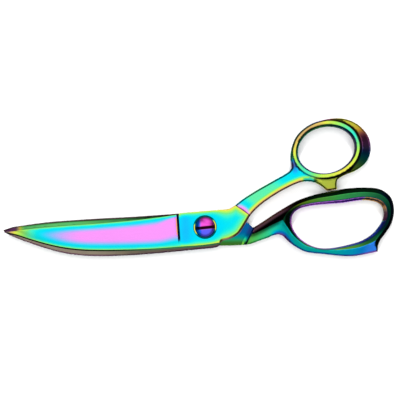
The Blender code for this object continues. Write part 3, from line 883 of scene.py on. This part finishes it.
def hex_grid(low, high):
    """Points of a triangular pattern between two corners."""
    rows = np.arange(low[1], high[1], FILL_SPACING * 0.87)
    return np.array([
        (x, y)
        for i, y in enumerate(rows)
        for x in np.arange(low[0] + (i % 2) * FILL_SPACING / 2, high[0], FILL_SPACING)
    ])


def ridge_lines(half, outer, hole):
    """Points along the handle's ridges, found from a square grid."""
    spacing = 0.42
    low, high = outer.min(0), outer.max(0)
    x, y = np.meshgrid(np.arange(low[0], high[0], spacing), np.arange(low[1], high[1], spacing))
    grid = np.stack([x.ravel(), y.ravel()], 1)
    grid = grid[(grid[:, 0] > 20) & (half.step.past(grid) > STEP_WIDTH + 0.2)]
    grid = grid[inside(grid, outer) & ~inside(grid, hole)]
    for ridge in half.handle_ridges():
        line = on_zero(ridge, grid)
        line = line[inside(line, outer) & ~inside(line, hole)]
        clear = (half.outline.distance(line) > RIM_MARGIN) & (half.hole.distance(line) > RIM_MARGIN)
        yield line[clear]


def crease_edges(half, creases, outer, points, edges):
    """Adds the creases' points that are clear of the rims, and the edges between them."""
    for crease in creases:
        clear = inside(crease, outer) & (half.outline.distance(crease) > RIM_MARGIN)
        clear &= np.linalg.norm(crease, axis=1) > half.bore_radius + RIM_MARGIN
        previous = None
        for place, keep in zip(crease, clear):
            if keep:
                points.append(tuple(place))
                if previous is not None:
                    edges.append((previous, len(points) - 1))
            previous = len(points) - 1 if keep else None


def triangulate(half, extra_creases):
    """Points and triangles that fill the outline around the bow's hole and the bore."""
    outer = resample(half.outline.points, RIM_SPACING, half.corners)
    hole = resample(half.hole.points, 0.6)
    bore = circle(half.bore_radius, 48)
    points, edges = [], []
    for loop in (outer, hole, bore):
        first = len(points)
        points += [tuple(point) for point in loop]
        edges += [(first + i, first + (i + 1) % len(loop)) for i in range(len(loop))]
    crease_edges(half, half.creases() + extra_creases, outer, points, edges)

    # Each ring's points are kept only where they really are that far from the outline
    groups = [(points, True)]
    groups += [(line, False) for line in ridge_lines(half, outer, hole)]
    for offset in EDGE_RINGS:
        ring = offset_ring(half.outline, offset, 0.75)
        ring = ring[inside(ring, outer)]
        clear = (half.outline.distance(ring) > offset * 0.9) & (ring[:, 0] > WALL_TOP)
        groups.append((ring[clear], False))
    for offset in HOLE_RINGS:
        ring = offset_ring(half.hole, offset, 0.65)
        ring = ring[inside(ring, outer)]
        groups.append((ring[half.outline.distance(ring) > 0.25], False))
    kept = keep_apart(groups, SMALLEST_GAP)
    grid = hex_grid(outer.min(0), outer.max(0))
    grid = grid[inside(grid, outer)]
    grid = grid[half.outline.distance(grid) > 0.3]
    spaced = keep_apart([(kept, True), (grid, False)], FILL_GAP)
    vertices, _, faces, _, _, _ = delaunay_2d_cdt([Vector(point) for point in spaced], edges, [], 0, 1e-5)
    places = np.array([tuple(vertex) for vertex in vertices])
    faces = np.array(faces)
    centres = places[faces].mean(1)
    solid = inside(centres, outer) & ~inside(centres, hole) & ~inside(centres, bore)
    return places, faces[solid]


def steepness(height, places):
    """The height's slope along x and y."""
    step = 0.01
    along_x = (height(places + [step, 0]) - height(places - [step, 0])) / (2 * step)
    along_y = (height(places + [0, step]) - height(places - [0, step])) / (2 * step)
    return along_x, along_y


def skin(places, faces, labels, height, paint, upwards):
    """Heights of the vertices, and a normal and the coating's film, shade and blush for each corner."""
    heights = np.full(len(places), np.nan)
    normals = np.zeros((len(faces), 3, 3))
    coats = np.zeros((len(faces), 3, 3))
    for patch in np.unique(labels):
        chosen = np.nonzero(labels == patch)[0]
        used, inverse = np.unique(faces[chosen], return_inverse=True)
        at = places[used]
        level = height(at, patch)
        fresh = np.isnan(heights[used])
        heights[used[fresh]] = level[fresh]
        slope_x, slope_y = steepness(lambda where: height(where, patch), at)
        normal = np.stack([-slope_x, -slope_y, np.ones(len(at))], 1)
        if not upwards:
            normal = -normal
        normal /= np.linalg.norm(normal, axis=1)[:, None]
        normals[chosen] = normal[inverse.reshape(-1, 3)]
        coat = np.stack([value * np.ones(len(at)) for value in paint(at, patch)], 1)
        coats[chosen] = coat[inverse.reshape(-1, 3)]
    return heights, normals, coats


def facing_up(places, faces):
    """The same triangles, each turned so that it faces up."""
    a, b, c = places[faces[:, 0]], places[faces[:, 1]], places[faces[:, 2]]
    turned = (b[:, 0] - a[:, 0]) * (c[:, 1] - a[:, 1]) - (b[:, 1] - a[:, 1]) * (c[:, 0] - a[:, 0]) < 0
    faces[turned] = faces[turned][:, ::-1]
    return faces


def rim_walls(places, faces, coats):
    """The edges along the rims, and the normal and the coat for each corner of the wall below each edge."""
    ends = np.concatenate([faces[:, [0, 1]], faces[:, [1, 2]], faces[:, [2, 0]]])
    keys = {(int(p), int(q)) for p, q in ends}
    rim = sorted((p, q) for p, q in keys if (q, p) not in keys)
    rim_coats = dict(zip(faces.reshape(-1).tolist(), coats.reshape(-1, 3)))
    outward = np.zeros((len(places), 2))
    sideways = []
    for p, q in rim:
        along = places[q] - places[p]
        across = np.array([along[1], -along[0]]) / np.linalg.norm(along)
        outward[p] += across
        outward[q] += across
        sideways.append(across)
    normals, wall_coats = [], []
    for (p, q), across in zip(rim, sideways):
        for end in (q, p, p, q):
            shared = outward[end] / np.linalg.norm(outward[end])
            side = shared if shared @ across > SHARP_CORNER else across
            normals.append((side[0], side[1], 0))
            wall_coats.append(rim_coats[end])
    return rim, normals, wall_coats


def forging(name, half, upper_patch, upper, lower_patch, lower, extra_creases):
    """One closed mesh: upper and lower skins over the same triangles, and walls along their rims."""
    places, faces = triangulate(half, extra_creases)
    faces = facing_up(places, faces)
    centres = places[faces].mean(1)
    top, top_normals, top_coats = skin(places, faces, upper_patch(centres), upper, half.paint, True)
    bottom, bottom_normals, bottom_coats = skin(places, faces, lower_patch(centres), lower, half.paint, False)
    used = np.unique(faces)
    renumber = np.full(len(places), -1)
    renumber[used] = np.arange(len(used))
    faces = renumber[faces]
    places, top, bottom = places[used], top[used], np.minimum(bottom[used], top[used] - THINNEST)
    vertices = np.concatenate([np.column_stack([places, top]), np.column_stack([places, bottom])])
    rim, wall_normals, wall_coats = rim_walls(places, faces, top_coats)
    below = len(used)
    polygons = [tuple(face) for face in faces] + [tuple(face[::-1] + below) for face in faces]
    polygons += [(q, p, p + below, q + below) for p, q in rim]
    normals = list(top_normals.reshape(-1, 3)) + list(bottom_normals[:, ::-1].reshape(-1, 3)) + wall_normals
    coats = list(top_coats.reshape(-1, 3)) + list(bottom_coats[:, ::-1].reshape(-1, 3)) + wall_coats
    mesh = bpy.data.meshes.new(name)
    mesh.from_pydata((vertices * MM).tolist(), [], polygons)
    mesh.shade_smooth()
    mesh.normals_split_custom_set([tuple(normal) for normal in normals])
    for i, attribute in enumerate(COAT_ATTRIBUTES):
        values = mesh.attributes.new(attribute, "FLOAT", "CORNER")
        values.data.foreach_set("value", [coat[i] for coat in coats])
    obj = bpy.data.objects.new(name, mesh)
    bpy.context.scene.collection.objects.link(obj)
    return obj


def thumb_forging():
    """The thumb half, with a flat inner face below its blade and boss."""
    half = ThumbHalf()

    def upper(places, patch):
        return half.inner_level + half.outer(places, patch)

    def lower_patch(places):
        right = places[:, 0] > RIGHT_OF_PIVOT
        past = half.step.past(places) - THUMB_INNER_STEP_PAST
        patch = np.where((past > 0) & right, half.STEP, half.INNER)
        return np.where((past > STEP_WIDTH) & right, half.HANDLE + half.facet(places), patch)

    def lower(places, patch):
        if patch == half.INNER:
            return np.full(len(places), THUMB_INNER)
        shank = THICKNESS - half.handle(places, THUMB_INNER_STEP_PAST)
        if patch >= half.HANDLE:
            return shank
        t = (half.step.past(places) - THUMB_INNER_STEP_PAST) / STEP_WIDTH
        return THUMB_INNER + (shank - THUMB_INNER) * t

    creases = [half.step.line(THUMB_INNER_STEP_PAST), half.step.line(THUMB_INNER_STEP_PAST + STEP_WIDTH)]
    return forging("thumb_half_forging", half, half.outer_patch, upper, lower_patch, lower, creases)


def finger_forging():
    """The finger half, whose flat inner face is on top, with the nut's counterbore in its outer side."""
    half = FingerHalf()
    sink_radius = NUT_RADIUS + COUNTERBORE_CLEARANCE
    sink_wall = 0.1

    def upper_patch(places):
        right = places[:, 0] > RIGHT_OF_PIVOT
        past = half.step.past(places)
        patch = np.where((past > 0) & right, half.STEP, half.INNER)
        return np.where((past > FINGER_STEP_WIDTH) & right, half.HANDLE + half.facet(places), patch)

    def upper(places, patch):
        x, y = places[:, 0], places[:, 1]
        on_back = smoothstep(-20, -30, x) * (y > half.bevel(x))
        drop = BACK_CHAMFER_DEPTH * np.clip(1 - half.outline.distance(places) / BACK_CHAMFER, 0, 1)
        face = FINGER_INNER - on_back * drop
        if patch == half.INNER:
            return face
        shank = half.handle(places)
        if patch >= half.HANDLE:
            return shank
        return face + (shank - face) * half.step.past(places) / FINGER_STEP_WIDTH

    def lower_patch(places):
        patch = half.outer_patch(places)
        reach = np.linalg.norm(places, axis=1)
        patch = np.where(reach < sink_radius + sink_wall, half.SINK_WALL, patch)
        return np.where(reach < sink_radius, half.SINK, patch)

    def lower(places, patch):
        if patch == half.SINK:
            return np.full(len(places), NUT_SEAT)
        if patch == half.SINK_WALL:
            t = np.clip((np.linalg.norm(places, axis=1) - sink_radius) / sink_wall, 0, 1)
            return NUT_SEAT + (FINGER_INNER - BOSS_THICKNESS - NUT_SEAT) * t
        shank = THICKNESS - half.handle(places)
        if patch >= half.HANDLE:
            return shank
        if patch != half.STEP:
            return FINGER_INNER - half.outer(places, patch)
        t = half.step.past(places) / STEP_WIDTH
        boss = FINGER_INNER - half.outer(places, half.BOSS)
        return boss + (shank - boss) * t

    back = np.arange(-116, -16, CREASE_SPACING)
    creases = [half.step.line(FINGER_STEP_WIDTH), np.stack([back, half.spine(back) - BACK_CHAMFER], 1)]
    for radius in (sink_radius, sink_radius + sink_wall):
        ring = circle(radius, 72)
        creases.append(np.concatenate([ring, ring[:1]]))
    return forging("finger_half_forging", half, upper_patch, upper, lower_patch, lower, creases)


# ---------------------------------------------------------------- turned pieces


def turned(name, profile, steps=96):
    """A solid turned about the pivot axis from (radius, height) pairs, from the top down its outer side."""
    mesh = bpy.data.meshes.new(name)
    edges = [(i, i + 1) for i in range(len(profile) - 1)]
    mesh.from_pydata([(r * MM, 0, z * MM) for r, z in profile], edges, [])
    obj = bpy.data.objects.new(name, mesh)
    bpy.context.scene.collection.objects.link(obj)
    screw = obj.modifiers.new("turn", "SCREW")
    screw.steps = steps
    screw.render_steps = steps
    screw.use_merge_vertices = True
    screw.merge_threshold = 0.000005
    return obj


def cut_box(name, centre, size, turn=0.0):
    """A box that a piece is cut with."""
    shape = bmesh.new()
    bmesh.ops.create_cube(shape, size=1)
    bmesh.ops.scale(shape, vec=Vector(size) * MM, verts=shape.verts)
    mesh = bpy.data.meshes.new(name)
    shape.to_mesh(mesh)
    shape.free()
    obj = bpy.data.objects.new(name, mesh)
    bpy.context.scene.collection.objects.link(obj)
    obj.location = Vector(centre) * MM
    obj.rotation_euler.z = turn
    return obj


def finished(obj, cutters, bevel=0.12):
    """Applies the turning, the cuts and a small bevel, and leaves a plain smooth mesh."""
    for cutter in cutters:
        cut = obj.modifiers.new(cutter.name, "BOOLEAN")
        cut.operation = "DIFFERENCE"
        cut.object = cutter
    if bevel:
        edge = obj.modifiers.new("edges", "BEVEL")
        edge.width = bevel * MM
        edge.segments = 2
        edge.limit_method = "ANGLE"
        edge.angle_limit = np.radians(35)
        edge.harden_normals = True
    bpy.context.view_layer.update()
    mesh = bpy.data.meshes.new_from_object(obj.evaluated_get(bpy.context.evaluated_depsgraph_get()))
    obj.modifiers.clear()
    obj.data = mesh
    for cutter in cutters:
        bpy.data.objects.remove(cutter)
    mesh.shade_smooth()
    mesh.set_sharp_from_angle(angle=np.radians(32))
    return obj


def screw_piece():
    """Domed head with a slot, plain shoulder and threaded end."""
    seat = WASHER_TOP + SEAT_GAP
    rim = seat + 0.7
    shoulder = rim + 0.85
    curve = (DOME_RADIUS**2 + (SCREW_TOP - shoulder) ** 2) / (2 * (SCREW_TOP - shoulder))
    dome = [(r, SCREW_TOP - curve + np.sqrt(curve**2 - r**2)) for r in np.linspace(0, DOME_RADIUS, 16)]
    drop = [
        (SCREW_RADIUS - (SCREW_RADIUS - DOME_RADIUS) * (1 - np.sin(a)), rim + (shoulder - rim) * np.cos(a))
        for a in np.linspace(0, np.pi / 2, 8)[1:]
    ]
    profile = dome + drop + [
        (SCREW_RADIUS, seat),
        (SHOULDER_RADIUS, seat),
        (SHOULDER_RADIUS, MIDDLE + 0.15),
        (THREAD_RADIUS, MIDDLE + 0.15),
        (THREAD_RADIUS, 0.35),
        (THREAD_RADIUS - 0.35, 0),
        (0, 0),
    ]
    screw = turned("screw_with_domed_head", profile)
    slot = cut_box("slot", (0, SLOT_OFFSET, SCREW_TOP + 2 - SLOT_DEPTH), (30, SLOT_WIDTH, 4), turn=SLOT_TURN)
    return finished(screw, [slot])


def washer_piece():
    """Dished spring washer, whose inner rim stands up under the head."""
    bore = SHOULDER_RADIUS + RUNNING_CLEARANCE
    dish = 0.35
    sheet = WASHER_TOP - WASHER_BOTTOM - dish
    profile = [
        (bore, WASHER_BOTTOM + sheet + dish),
        (WASHER_RADIUS - 0.7, WASHER_BOTTOM + sheet + 0.04),
        (WASHER_RADIUS, WASHER_BOTTOM + sheet),
        (WASHER_RADIUS, WASHER_BOTTOM),
        (bore, WASHER_BOTTOM + dish),
        (bore, WASHER_BOTTOM + sheet + dish),
    ]
    return finished(turned("dished_washer", profile), [])


def nut_piece():
    """Round nut with two spanner notches."""
    bore = THREAD_RADIUS + RUNNING_CLEARANCE
    profile = [
        (bore, NUT_TOP),
        (NUT_RADIUS, NUT_TOP),
        (NUT_RADIUS, 0.45),
        (NUT_RADIUS - 0.45, 0),
        (bore + 0.3, 0),
        (bore, 0.3),
        (bore, NUT_TOP),
    ]
    notches = [
        cut_box(f"notch_{i}", (side * NUT_RADIUS, 0, 0), (2.4, 1.5, 1.6)) for i, side in enumerate((-1, 1))
    ]
    return finished(turned("spanner_nut", profile), notches)


# ---------------------------------------------------------------- materials


def linear(code):
    """A colour written as six sRGB hex digits, as linear RGBA."""
    values = [int(code[i : i + 2], 16) / 255 for i in (0, 2, 4)]
    return [v / 12.92 if v <= 0.04045 else ((v + 0.055) / 1.055) ** 2.4 for v in values] + [1.0]


# The coating's colours in the order in which they follow each other, as (place, sRGB)
RAINBOW = [
    (0.0, "7A3F78"), (0.03, "806068"), (0.06, "A09680"), (0.1, "D6AC78"), (0.14, "EBCB6C"),
    (0.18, "EFF255"),
    (0.25, "B6F860"), (0.33, "78F38C"), (0.4, "4AF8C8"), (0.46, "16F0E8"), (0.5, "00E4FF"),
    (0.58, "1EB0FF"),
    (0.65, "6C8CFF"), (0.72, "B8A4FF"), (0.82, "FF98FF"), (0.9, "FF80C8"), (0.95, "FF9088"),
    (1.0, "FFC040"),
    (1.08, "E6E24A"),
]
RAINBOW_END = 1.08
BLUSH = "FF9CFF"


class Nodes:
    """Short names for adding and joining shader nodes."""

    def __init__(self, tree):
        self.tree = tree

    def add(self, kind, **settings):
        node = self.tree.nodes.new(kind)
        for key, value in settings.items():
            setattr(node, key, value)
        return node

    def join(self, source, target):
        self.tree.links.new(source, target)

    def math(self, operation, *values):
        """The result of a sum on sockets and plain numbers."""
        node = self.add("ShaderNodeMath", operation=operation)
        for socket, value in zip(node.inputs, values):
            if isinstance(value, (int, float)):
                socket.default_value = value
            else:
                self.join(value, socket)
        return node.outputs[0]

    def remap(self, value, low, high, to_low, to_high):
        node = self.add("ShaderNodeMapRange", interpolation_type="SMOOTHSTEP")
        self.join(value, node.inputs["Value"])
        for key, number in (("From Min", low), ("From Max", high), ("To Min", to_low), ("To Max", to_high)):
            node.inputs[key].default_value = number
        return node.outputs[0]

    def noise(self, scale, detail, roughness=0.55):
        node = self.add("ShaderNodeTexNoise")
        node.inputs["Scale"].default_value = scale
        node.inputs["Detail"].default_value = detail
        node.inputs["Roughness"].default_value = roughness
        self.join(self.add("ShaderNodeTexCoord").outputs["Object"], node.inputs["Vector"])
        return node.outputs["Fac"]


def rainbow_steel(name, coat_source, roughness=0.13, depth=1.0, tilt_shift=0.05):
    """Polished steel under a thin coating, whose colour follows the film value and the surface's tilt, scaled
    by the shade value.
    """
    material = bpy.data.materials.new(name)
    material.use_nodes = True
    nodes = Nodes(material.node_tree)
    shader = material.node_tree.nodes["Principled BSDF"]
    shader.inputs["Metallic"].default_value = 1.0
    film, shade, blush = coat_source(nodes)
    normal = nodes.add("ShaderNodeSeparateXYZ")
    nodes.join(nodes.add("ShaderNodeTexCoord").outputs["Normal"], normal.inputs[0])
    tilt = nodes.math("SUBTRACT", 1.0, nodes.math("ABSOLUTE", normal.outputs["Z"]))
    film = nodes.math("ADD", film, nodes.math("MULTIPLY", tilt, tilt_shift))
    drift = nodes.math("MULTIPLY", nodes.math("SUBTRACT", nodes.noise(90, 3), 0.5), 0.04)
    film = nodes.math("DIVIDE", nodes.math("ADD", film, drift), RAINBOW_END)
    ramp = nodes.add("ShaderNodeValToRGB")
    elements = ramp.color_ramp.elements
    while len(elements) < len(RAINBOW):
        elements.new(0.5)
    for element, (position, code) in zip(elements, RAINBOW):
        element.position = position / RAINBOW_END
        element.color = linear(code)
    nodes.join(film, ramp.inputs[0])
    color = ramp.outputs[0]
    if blush is not None:
        pink = nodes.add("ShaderNodeMix", data_type="RGBA")
        nodes.join(blush, pink.inputs[0])
        nodes.join(color, pink.inputs[6])
        pink.inputs[7].default_value = linear(BLUSH)
        color = pink.outputs[2]
    if depth != 1:
        deeper = nodes.add("ShaderNodeGamma")
        deeper.inputs["Gamma"].default_value = depth
        nodes.join(color, deeper.inputs["Color"])
        color = deeper.outputs[0]
    # The shade value scales the colour: painted shade and light on the forgings, screw and washer, and a
    # random tone on the nut.
    dimmed = nodes.add("ShaderNodeVectorMath", operation="SCALE")
    nodes.join(color, dimmed.inputs[0])
    nodes.join(shade, dimmed.inputs["Scale"])
    nodes.join(dimmed.outputs[0], shader.inputs["Base Color"])
    smears = nodes.remap(nodes.noise(45, 5, 0.6), 0.35, 0.75, roughness * 0.85, roughness * 1.35)
    lines = nodes.math("MULTIPLY", nodes.noise(900, 2, 0.5), 0.03)
    nodes.join(nodes.math("ADD", smears, lines), shader.inputs["Roughness"])
    bump = nodes.add("ShaderNodeBump")
    bump.inputs["Strength"].default_value = 0.02
    bump.inputs["Distance"].default_value = 0.00002
    nodes.join(nodes.noise(1400, 2, 0.5), bump.inputs["Height"])
    nodes.join(bump.outputs[0], shader.inputs["Normal"])
    return material


def painted_coat(nodes):
    """The values that are painted on the mesh."""
    return [nodes.add("ShaderNodeAttribute", attribute_name=name).outputs["Fac"] for name in COAT_ATTRIBUTES]


def object_place(nodes):
    """X, Y and Z of the shaded point, in metres from the pivot's origin."""
    place = nodes.add("ShaderNodeSeparateXYZ")
    nodes.join(nodes.add("ShaderNodeTexCoord").outputs["Object"], place.inputs[0])
    return place.outputs


def head_coat(nodes):
    """Pink over the dome, blue at its left, violet below the slot, and dark red in and beside the slot, where
    shade is painted, with painted shade low on the dome's rim.
    """
    place = object_place(nodes)
    above_slot = nodes.math(
        "SUBTRACT",
        nodes.math("MULTIPLY", nodes.math("SUBTRACT", place["Y"], SLOT_OFFSET * MM), np.cos(SLOT_TURN)),
        nodes.math("MULTIPLY", place["X"], np.sin(SLOT_TURN)),
    )
    film = nodes.remap(above_slot, -1.6 * MM, -0.4 * MM, 0.69, 0.85)
    film = nodes.math("SUBTRACT", film, nodes.remap(place["X"], -5.0 * MM, -1.8 * MM, 0.3, 0.0))
    film = nodes.math("MAXIMUM", film, 0.6)
    beside = nodes.remap(nodes.math("ABSOLUTE", above_slot), 0.75 * MM, 1.3 * MM, 1.0, 0.0)
    # Painted shade: darker low on the dome towards its rim, and in and beside the slot.
    low = nodes.remap(place["Z"], (SCREW_TOP - 1.35) * MM, (SCREW_TOP - 0.6) * MM, 0.2, 1.0)
    film = nodes.math("ADD", film, nodes.math("MULTIPLY", beside, 0.04))
    shade = nodes.math("MULTIPLY", low, nodes.math("SUBTRACT", 1.0, nodes.math("MULTIPLY", beside, 0.9)))
    return film, shade, None


def washer_coat(nodes):
    """Teal darkened by painted shade, with a painted glint at the left and at the right of the head."""
    place = object_place(nodes)
    squares = [nodes.math("MULTIPLY", place[axis], place[axis]) for axis in ("X", "Y")]
    radius = nodes.math("SQRT", nodes.math("ADD", squares[0], squares[1]))
    along = nodes.math(
        "ADD",
        nodes.math("MULTIPLY", place["X"], np.cos(GLINT_TURN)),
        nodes.math("MULTIPLY", place["Y"], np.sin(GLINT_TURN)),
    )
    facing = nodes.math("DIVIDE", nodes.math("ABSOLUTE", along), radius)
    glint = nodes.math(
        "MULTIPLY",
        nodes.remap(facing, 0.8, 0.95, 0.0, 1.0),
        nodes.remap(radius, 6.75 * MM, 7.0 * MM, 1.0, 0.0),
    )
    # Painted shade all over the washer, and painted highlights where it faces along the glint line near its
    # rim.
    film = nodes.math("SUBTRACT", 0.5, nodes.math("MULTIPLY", glint, 0.33))
    return film, nodes.math("ADD", nodes.math("MULTIPLY", glint, 0.9), 0.12), None


def nut_coat(nodes):
    """Blue, changing slowly across the nut."""
    place = object_place(nodes)
    film = nodes.math("ADD", nodes.math("MULTIPLY", place["Y"], 10.0), 0.55)
    return film, nodes.math("MULTIPLY", nodes.math("ADD", nodes.noise(60, 2), 0.5), 0.8), None


# ---------------------------------------------------------------- studio


CAMERA_LENS = 190
CAMERA_PLACE = (-0.0031, 0.0167, 1.312)
FLOOR_DROP = 0.00005

# Bright panels of the room, as (direction, cosines where it fades in and is full, dim and full brightness)
OVERHEAD = ((0, -0.14, 1), 0.7, 0.93, 0.08, 1.0)
FRONT = ((-0.1, -1, 0.32), 0.72, 0.95, 0.0, 0.55)
OTHER_PANELS = [
    ((0.3, 0.8, 0.5), 0.76, 0.93, 0.0, 0.8),
    ((-0.5, 0.6, 0.75), 0.86, 0.97, 0.0, 0.25),
    ((-1, -0.15, 0.1), 0.85, 0.97, 0.0, 0.4),
    ((1, 0.2, 0.1), 0.88, 0.98, 0.0, 0.35),
]


def light_panels(scene):
    """The room that the polished steel reflects."""
    world = bpy.data.worlds.new("studio")
    world.use_nodes = True
    scene.world = world
    nodes = Nodes(world.node_tree)
    direction = nodes.add("ShaderNodeTexCoord").outputs["Generated"]

    def panel(towards, low, high, dim, bright):
        dot = nodes.add("ShaderNodeVectorMath", operation="DOT_PRODUCT")
        nodes.join(direction, dot.inputs[0])
        dot.inputs[1].default_value = Vector(towards).normalized()
        return nodes.remap(dot.outputs["Value"], low, high, dim, bright)

    total = nodes.math("MAXIMUM", panel(*OVERHEAD), panel(*FRONT))
    for other in OTHER_PANELS:
        total = nodes.math("ADD", total, panel(*other))
    nodes.join(total, world.node_tree.nodes["Background"].inputs["Color"])


def soft_light(name, place, size, power):
    """A square light that shines on the paper and doesn't show in the steel."""
    light = bpy.data.lights.new(name, "AREA")
    light.shape = "SQUARE"
    light.size = size
    light.energy = power
    obj = bpy.data.objects.new(name, light)
    obj.location = place
    obj.rotation_euler = (Vector((0, 0, 0)) - Vector(place)).to_track_quat("-Z", "Y").to_euler()
    obj.visible_glossy = False
    obj.visible_camera = False
    bpy.context.scene.collection.objects.link(obj)


def pale_floor(scene):
    """Pale paper just below the plane that the shears lie on."""
    mesh = bpy.data.meshes.new("floor")
    shape = bmesh.new()
    bmesh.ops.create_grid(shape, x_segments=1, y_segments=1, size=3)
    shape.to_mesh(mesh)
    shape.free()
    floor = bpy.data.objects.new("floor", mesh)
    floor.location.z = -FLOOR_DROP
    floor.visible_glossy = False
    scene.collection.objects.link(floor)
    paper = bpy.data.materials.new("pale_floor")
    paper.use_nodes = True
    shader = paper.node_tree.nodes["Principled BSDF"]
    shader.inputs["Base Color"].default_value = (0.9, 0.9, 0.9, 1)
    shader.inputs["Roughness"].default_value = 0.9
    shader.inputs["Specular IOR Level"].default_value = 0.0
    mesh.materials.append(paper)


def studio():
    """A dark room with soft bright panels to reflect, over pale paper, seen from straight above."""
    scene = bpy.context.scene
    scene.view_settings.view_transform = "Standard"
    light_panels(scene)
    soft_light("soft_overhead", (0.0, -0.2, 2.2), size=2.4, power=52)
    soft_light("soft_key", (0.05, 1.3, 1.6), size=0.4, power=28)
    pale_floor(scene)
    camera = bpy.data.cameras.new("camera")
    camera.lens = CAMERA_LENS
    camera.clip_end = 20
    eye = bpy.data.objects.new("camera", camera)
    eye.location = CAMERA_PLACE
    scene.collection.objects.link(eye)
    scene.camera = eye


def dress(piece, material, body, node):
    """Gives a piece its material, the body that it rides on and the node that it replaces."""
    piece.data.materials.clear()
    piece.data.materials.append(material)
    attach(piece, body)
    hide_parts(node)


studio()
thumb_coating = rainbow_steel("thumb_half_coating", painted_coat)
finger_coating = rainbow_steel("finger_half_coating", painted_coat, depth=1.3)
screw_coating = rainbow_steel("screw_coating", head_coat, roughness=0.1, depth=1.8, tilt_shift=0.0)
washer_coating = rainbow_steel("washer_coating", washer_coat, roughness=0.16)
nut_coating = rainbow_steel("nut_coating", nut_coat, roughness=0.2)
dress(thumb_forging(), thumb_coating, "thumb_half", "thumb_half")
dress(finger_forging(), finger_coating, "finger_half", "finger_half")
dress(screw_piece(), screw_coating, "pivot_screw", "pivot_screw")
dress(washer_piece(), washer_coating, "pivot_screw", "spring_washer")
dress(nut_piece(), nut_coating, "lock_nut", "lock_nut")
